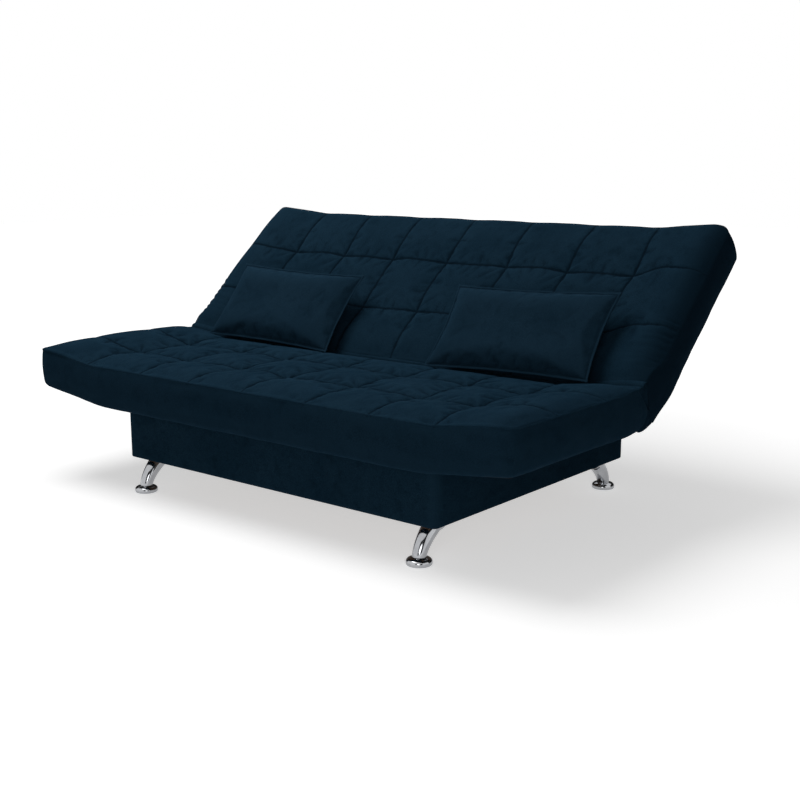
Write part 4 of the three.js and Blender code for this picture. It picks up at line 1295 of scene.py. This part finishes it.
def make_lining(pad):
    """Thin black cloth stapled over a pad's frame from below."""
    end = pad.half - LINING_MARGIN + LINING_LAP
    x, out = np.meshgrid(
        np.linspace(-end, end, 150),
        np.linspace(LINING_START, pad.reach - LINING_MARGIN + LINING_LAP, 56),
        indexing="ij",
    )
    u = x / x.max()
    v = (2 * out - out.min() - out.max()) / (out.max() - out.min())
    inside = (1 - u**8) * (1 - v**6)
    if pad is seat:  # it sags only between the box's boards
        inside *= smooth_step((OVER_BOX[0] - np.abs(x)) / 0.04) * smooth_step((OVER_BOX[1] - out) / 0.04)
    depth, wave, below = LINING_SAG[pad.name]
    sag = inside * (depth + wave * uneven(np.stack([x, out, out * 0], -1), 11, 5.0))
    hem = HEM_FOLD * (np.maximum(np.abs(u), np.abs(v)) > 0.97)
    up = pad.under - below + under_lift(pad, x) - sag - hem
    upper = from_pad(pad, x.ravel(), out.ravel(), up.ravel()).reshape(*x.shape, 3)
    piece = sheet_between(f"{pad.name}_lining_cloth", upper, upper - pad.up * LINING_THICKNESS)
    dress(piece, "lining_cloth", pad.body, replaced=[f"{pad.name}_lining"])
    number = np.arange(x.size).reshape(x.shape)
    loop = np.concatenate([number[2:-2, 1], number[-2, 2:-2], number[-3:1:-1, -2], number[1, -3:1:-1]])
    border = edge_lines(upper.reshape(-1, 3) - pad.up * (LINING_THICKNESS + 0.0003), [loop], closed=True)
    dress(staples.run(f"{pad.name}_staples", border), "spring_steel", pad.body)


for pad in PADS:
    make_lining(pad)


# ---- Legs ----
LEG_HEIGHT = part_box("base_floor")[0][2]
SWEEP = 0.070  # how far a leg's plate stands in from its foot
TUBE_FOOT = 0.0190  # height where a tube enters its foot
TUBE_TOP = 0.0033  # from the box down to the tube's end
SCREW_RING = 0.0375
SCREW_DROP = 0.0045  # from the box down to the screws' middles
SCREW_TURNS = np.radians([35, 145, 215, 325])
FOOT_PROFILE = [
    (0, 0.0008), (0.0300, 0.0008), (0.0335, 0.0), (0.0362, 0.0010), (0.0374, 0.0034),
    (0.0377, 0.0070), (0.0376, 0.0105), (0.0368, 0.0134), (0.0350, 0.0160), (0.0322, 0.0184),
    (0.0290, 0.0202), (0.0258, 0.0214), (0.0228, 0.0222), (0.0212, 0.0228), (0.0206, 0.0236),
    (0, 0.0236),
]
PLATE_PROFILE = [
    (0, -0.0040), (0.0385, -0.0040), (0.0402, -0.0036), (0.0416, -0.0022), (0.0420, -0.0006),
    (0.0418, 0), (0, 0),
]


def make_leg(end, side):
    """One chromed leg with its plate and screws, and its domed foot."""
    corner = f"{end}_{side}"
    low, high = (np.array(corner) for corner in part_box(f"foot_{corner}"))
    place = np.array([(low[0] + high[0]) / 2, (low[1] + high[1]) / 2, 0])
    sweep = np.array([0, -ENDS[end] * SWEEP, 0])
    plate = place + sweep + [0, 0, LEG_HEIGHT]
    tube = legs.run(
        f"chromed_leg_{corner}",
        new_piece("bare", np.empty((0, 3))),
        Foot=place + [0, 0, TUBE_FOOT],
        Bend=place + sweep * 0.06 + [0, 0, LEG_HEIGHT * 0.52],
        Top=plate - [0, 0, TUBE_TOP],
    )
    dress(tube, "chrome", "base", replaced=[f"leg_{corner}"])
    dress(lathe(f"leg_plate_{corner}", PLATE_PROFILE, plate - [0, 0, 0.0003]), "chrome", "base")
    ring = np.stack([np.cos(SCREW_TURNS), np.sin(SCREW_TURNS), SCREW_TURNS * 0], 1) * SCREW_RING
    spots = new_piece("spots", ring + plate - [0, 0, SCREW_DROP])
    dress(screws.run(f"leg_screws_{corner}", spots), "spring_steel", "base")
    foot = lathe(f"chromed_foot_{corner}", FOOT_PROFILE, place)
    dress(foot, "chrome", "base", replaced=[f"foot_{corner}"])


for end in ENDS:
    for side in SIDES:
        make_leg(end, side)


# ---- Camera, floor and light ----
CARD_RADIUS = 5.0
CARD_HEIGHT = 3.4
CARD_STATIONS = 25
FLOOR_HALF = 14.0
WHITE = shade(1, 1, 1)


def soft_lamp(name, place, target, size, power):
    """A round area lamp aimed at a point."""
    light = bpy.data.lights.new(name, "AREA")
    light.shape = "DISK"
    light.size = size
    light.energy = power
    lamp = placed(name, light)
    lamp.location = place
    lamp.rotation_euler = (Vector(target) - Vector(place)).to_track_quat("-Z", "Y").to_euler()


def light_and_show(tree, lighting, shown):
    """A shader that lights as one and shows as another, to the camera, in gloss and through glass."""
    rays = tree.node("ShaderNodeLightPath").node.outputs
    ray = tree.combine("MAXIMUM", rays["Is Camera Ray"], rays["Is Glossy Ray"])
    ray = tree.combine("MAXIMUM", ray, rays["Is Transmission Ray"])
    return tree.node("ShaderNodeMixShader", {0: ray, 1: lighting, 2: shown})


def dark_card(name, start, end):
    """A curved black card round the object, which shows only in its chrome."""
    turns = np.radians(np.linspace(start, end, CARD_STATIONS))
    low = np.stack([np.cos(turns), np.sin(turns), turns * 0], 1) * CARD_RADIUS + [0, 0, 0.02]
    number = np.arange(2 * CARD_STATIONS).reshape(2, CARD_STATIONS)
    card = new_piece(name, np.concatenate([low, low + [0, 0, CARD_HEIGHT]]), quads(number.T))
    card.data.materials.append(black.material)
    card.visible_camera = card.visible_diffuse = card.visible_shadow = card.visible_transmission = False


view = bpy.data.cameras.new("camera")
view.lens = 54.4
view.sensor_width = 36
view.shift_y = 0.0433
camera = placed("camera", view)
camera.location = (2.5250, -2.9719, 1.1058)
camera.rotation_euler = (math.pi / 2 - 0.2311, 0.0, 0.6837)
bpy.context.scene.camera = camera

soft_lamp("key_lamp", (-0.7, -0.9, 3.5), (0, 0.1, 0.4), 2.4, 72)
soft_lamp("front_lamp", (1.9, -2.5, 0.7), (0.5, 0, 0.2), 1.2, 11)

world = bpy.data.worlds.new("studio")
world.use_nodes = True
bpy.context.scene.world = world
room = Tree(world.node_tree)
dim = room.tree.nodes["Background"]
dim.inputs["Color"].default_value = WHITE
dim.inputs["Strength"].default_value = 0.12
white = room.node("ShaderNodeBackground", {"Color": WHITE, "Strength": 1.0})
room.fill(room.tree.nodes["World Output"].inputs["Surface"], light_and_show(room, dim.outputs[0], white))

dull = {"Base Color": shade(0.80, 0.80, 0.80), "Roughness": 0.9, "Specular IOR Level": 0.1}
paint = Finish("pale_floor", dull)
from_middle = paint.node("ShaderNodeVectorMath", {0: paint.place}, "Value", operation="LENGTH")
brightness = paint.between(from_middle, 0.9, 3.2, 0.55, 1.0, interpolation_type="SMOOTHSTEP")
glow = paint.node("ShaderNodeEmission", {"Strength": brightness})
plain = paint.shader.outputs[0]
shown = paint.node("ShaderNodeAddShader", {0: plain, 1: glow})
paint.fill(paint.tree.nodes["Material Output"].inputs["Surface"], light_and_show(paint, plain, shown))
corners = np.array([(-1, -1, 0), (1, -1, 0), (1, 1, 0), (-1, 1, 0)]) * FLOOR_HALF
floor = new_piece("floor", corners, [(0, 1, 2, 3)], smooth=False)
floor.data.materials.append(paint.material)

black = Finish("black_card", {"Base Color": shade(0.02, 0.02, 0.02), "Roughness": 1.0})
dark_card("rear_card", 28, 196)
dark_card("front_card", -78, -26)

bpy.context.scene.view_settings.view_transform = "Standard"
bpy.context.view_layer.update()
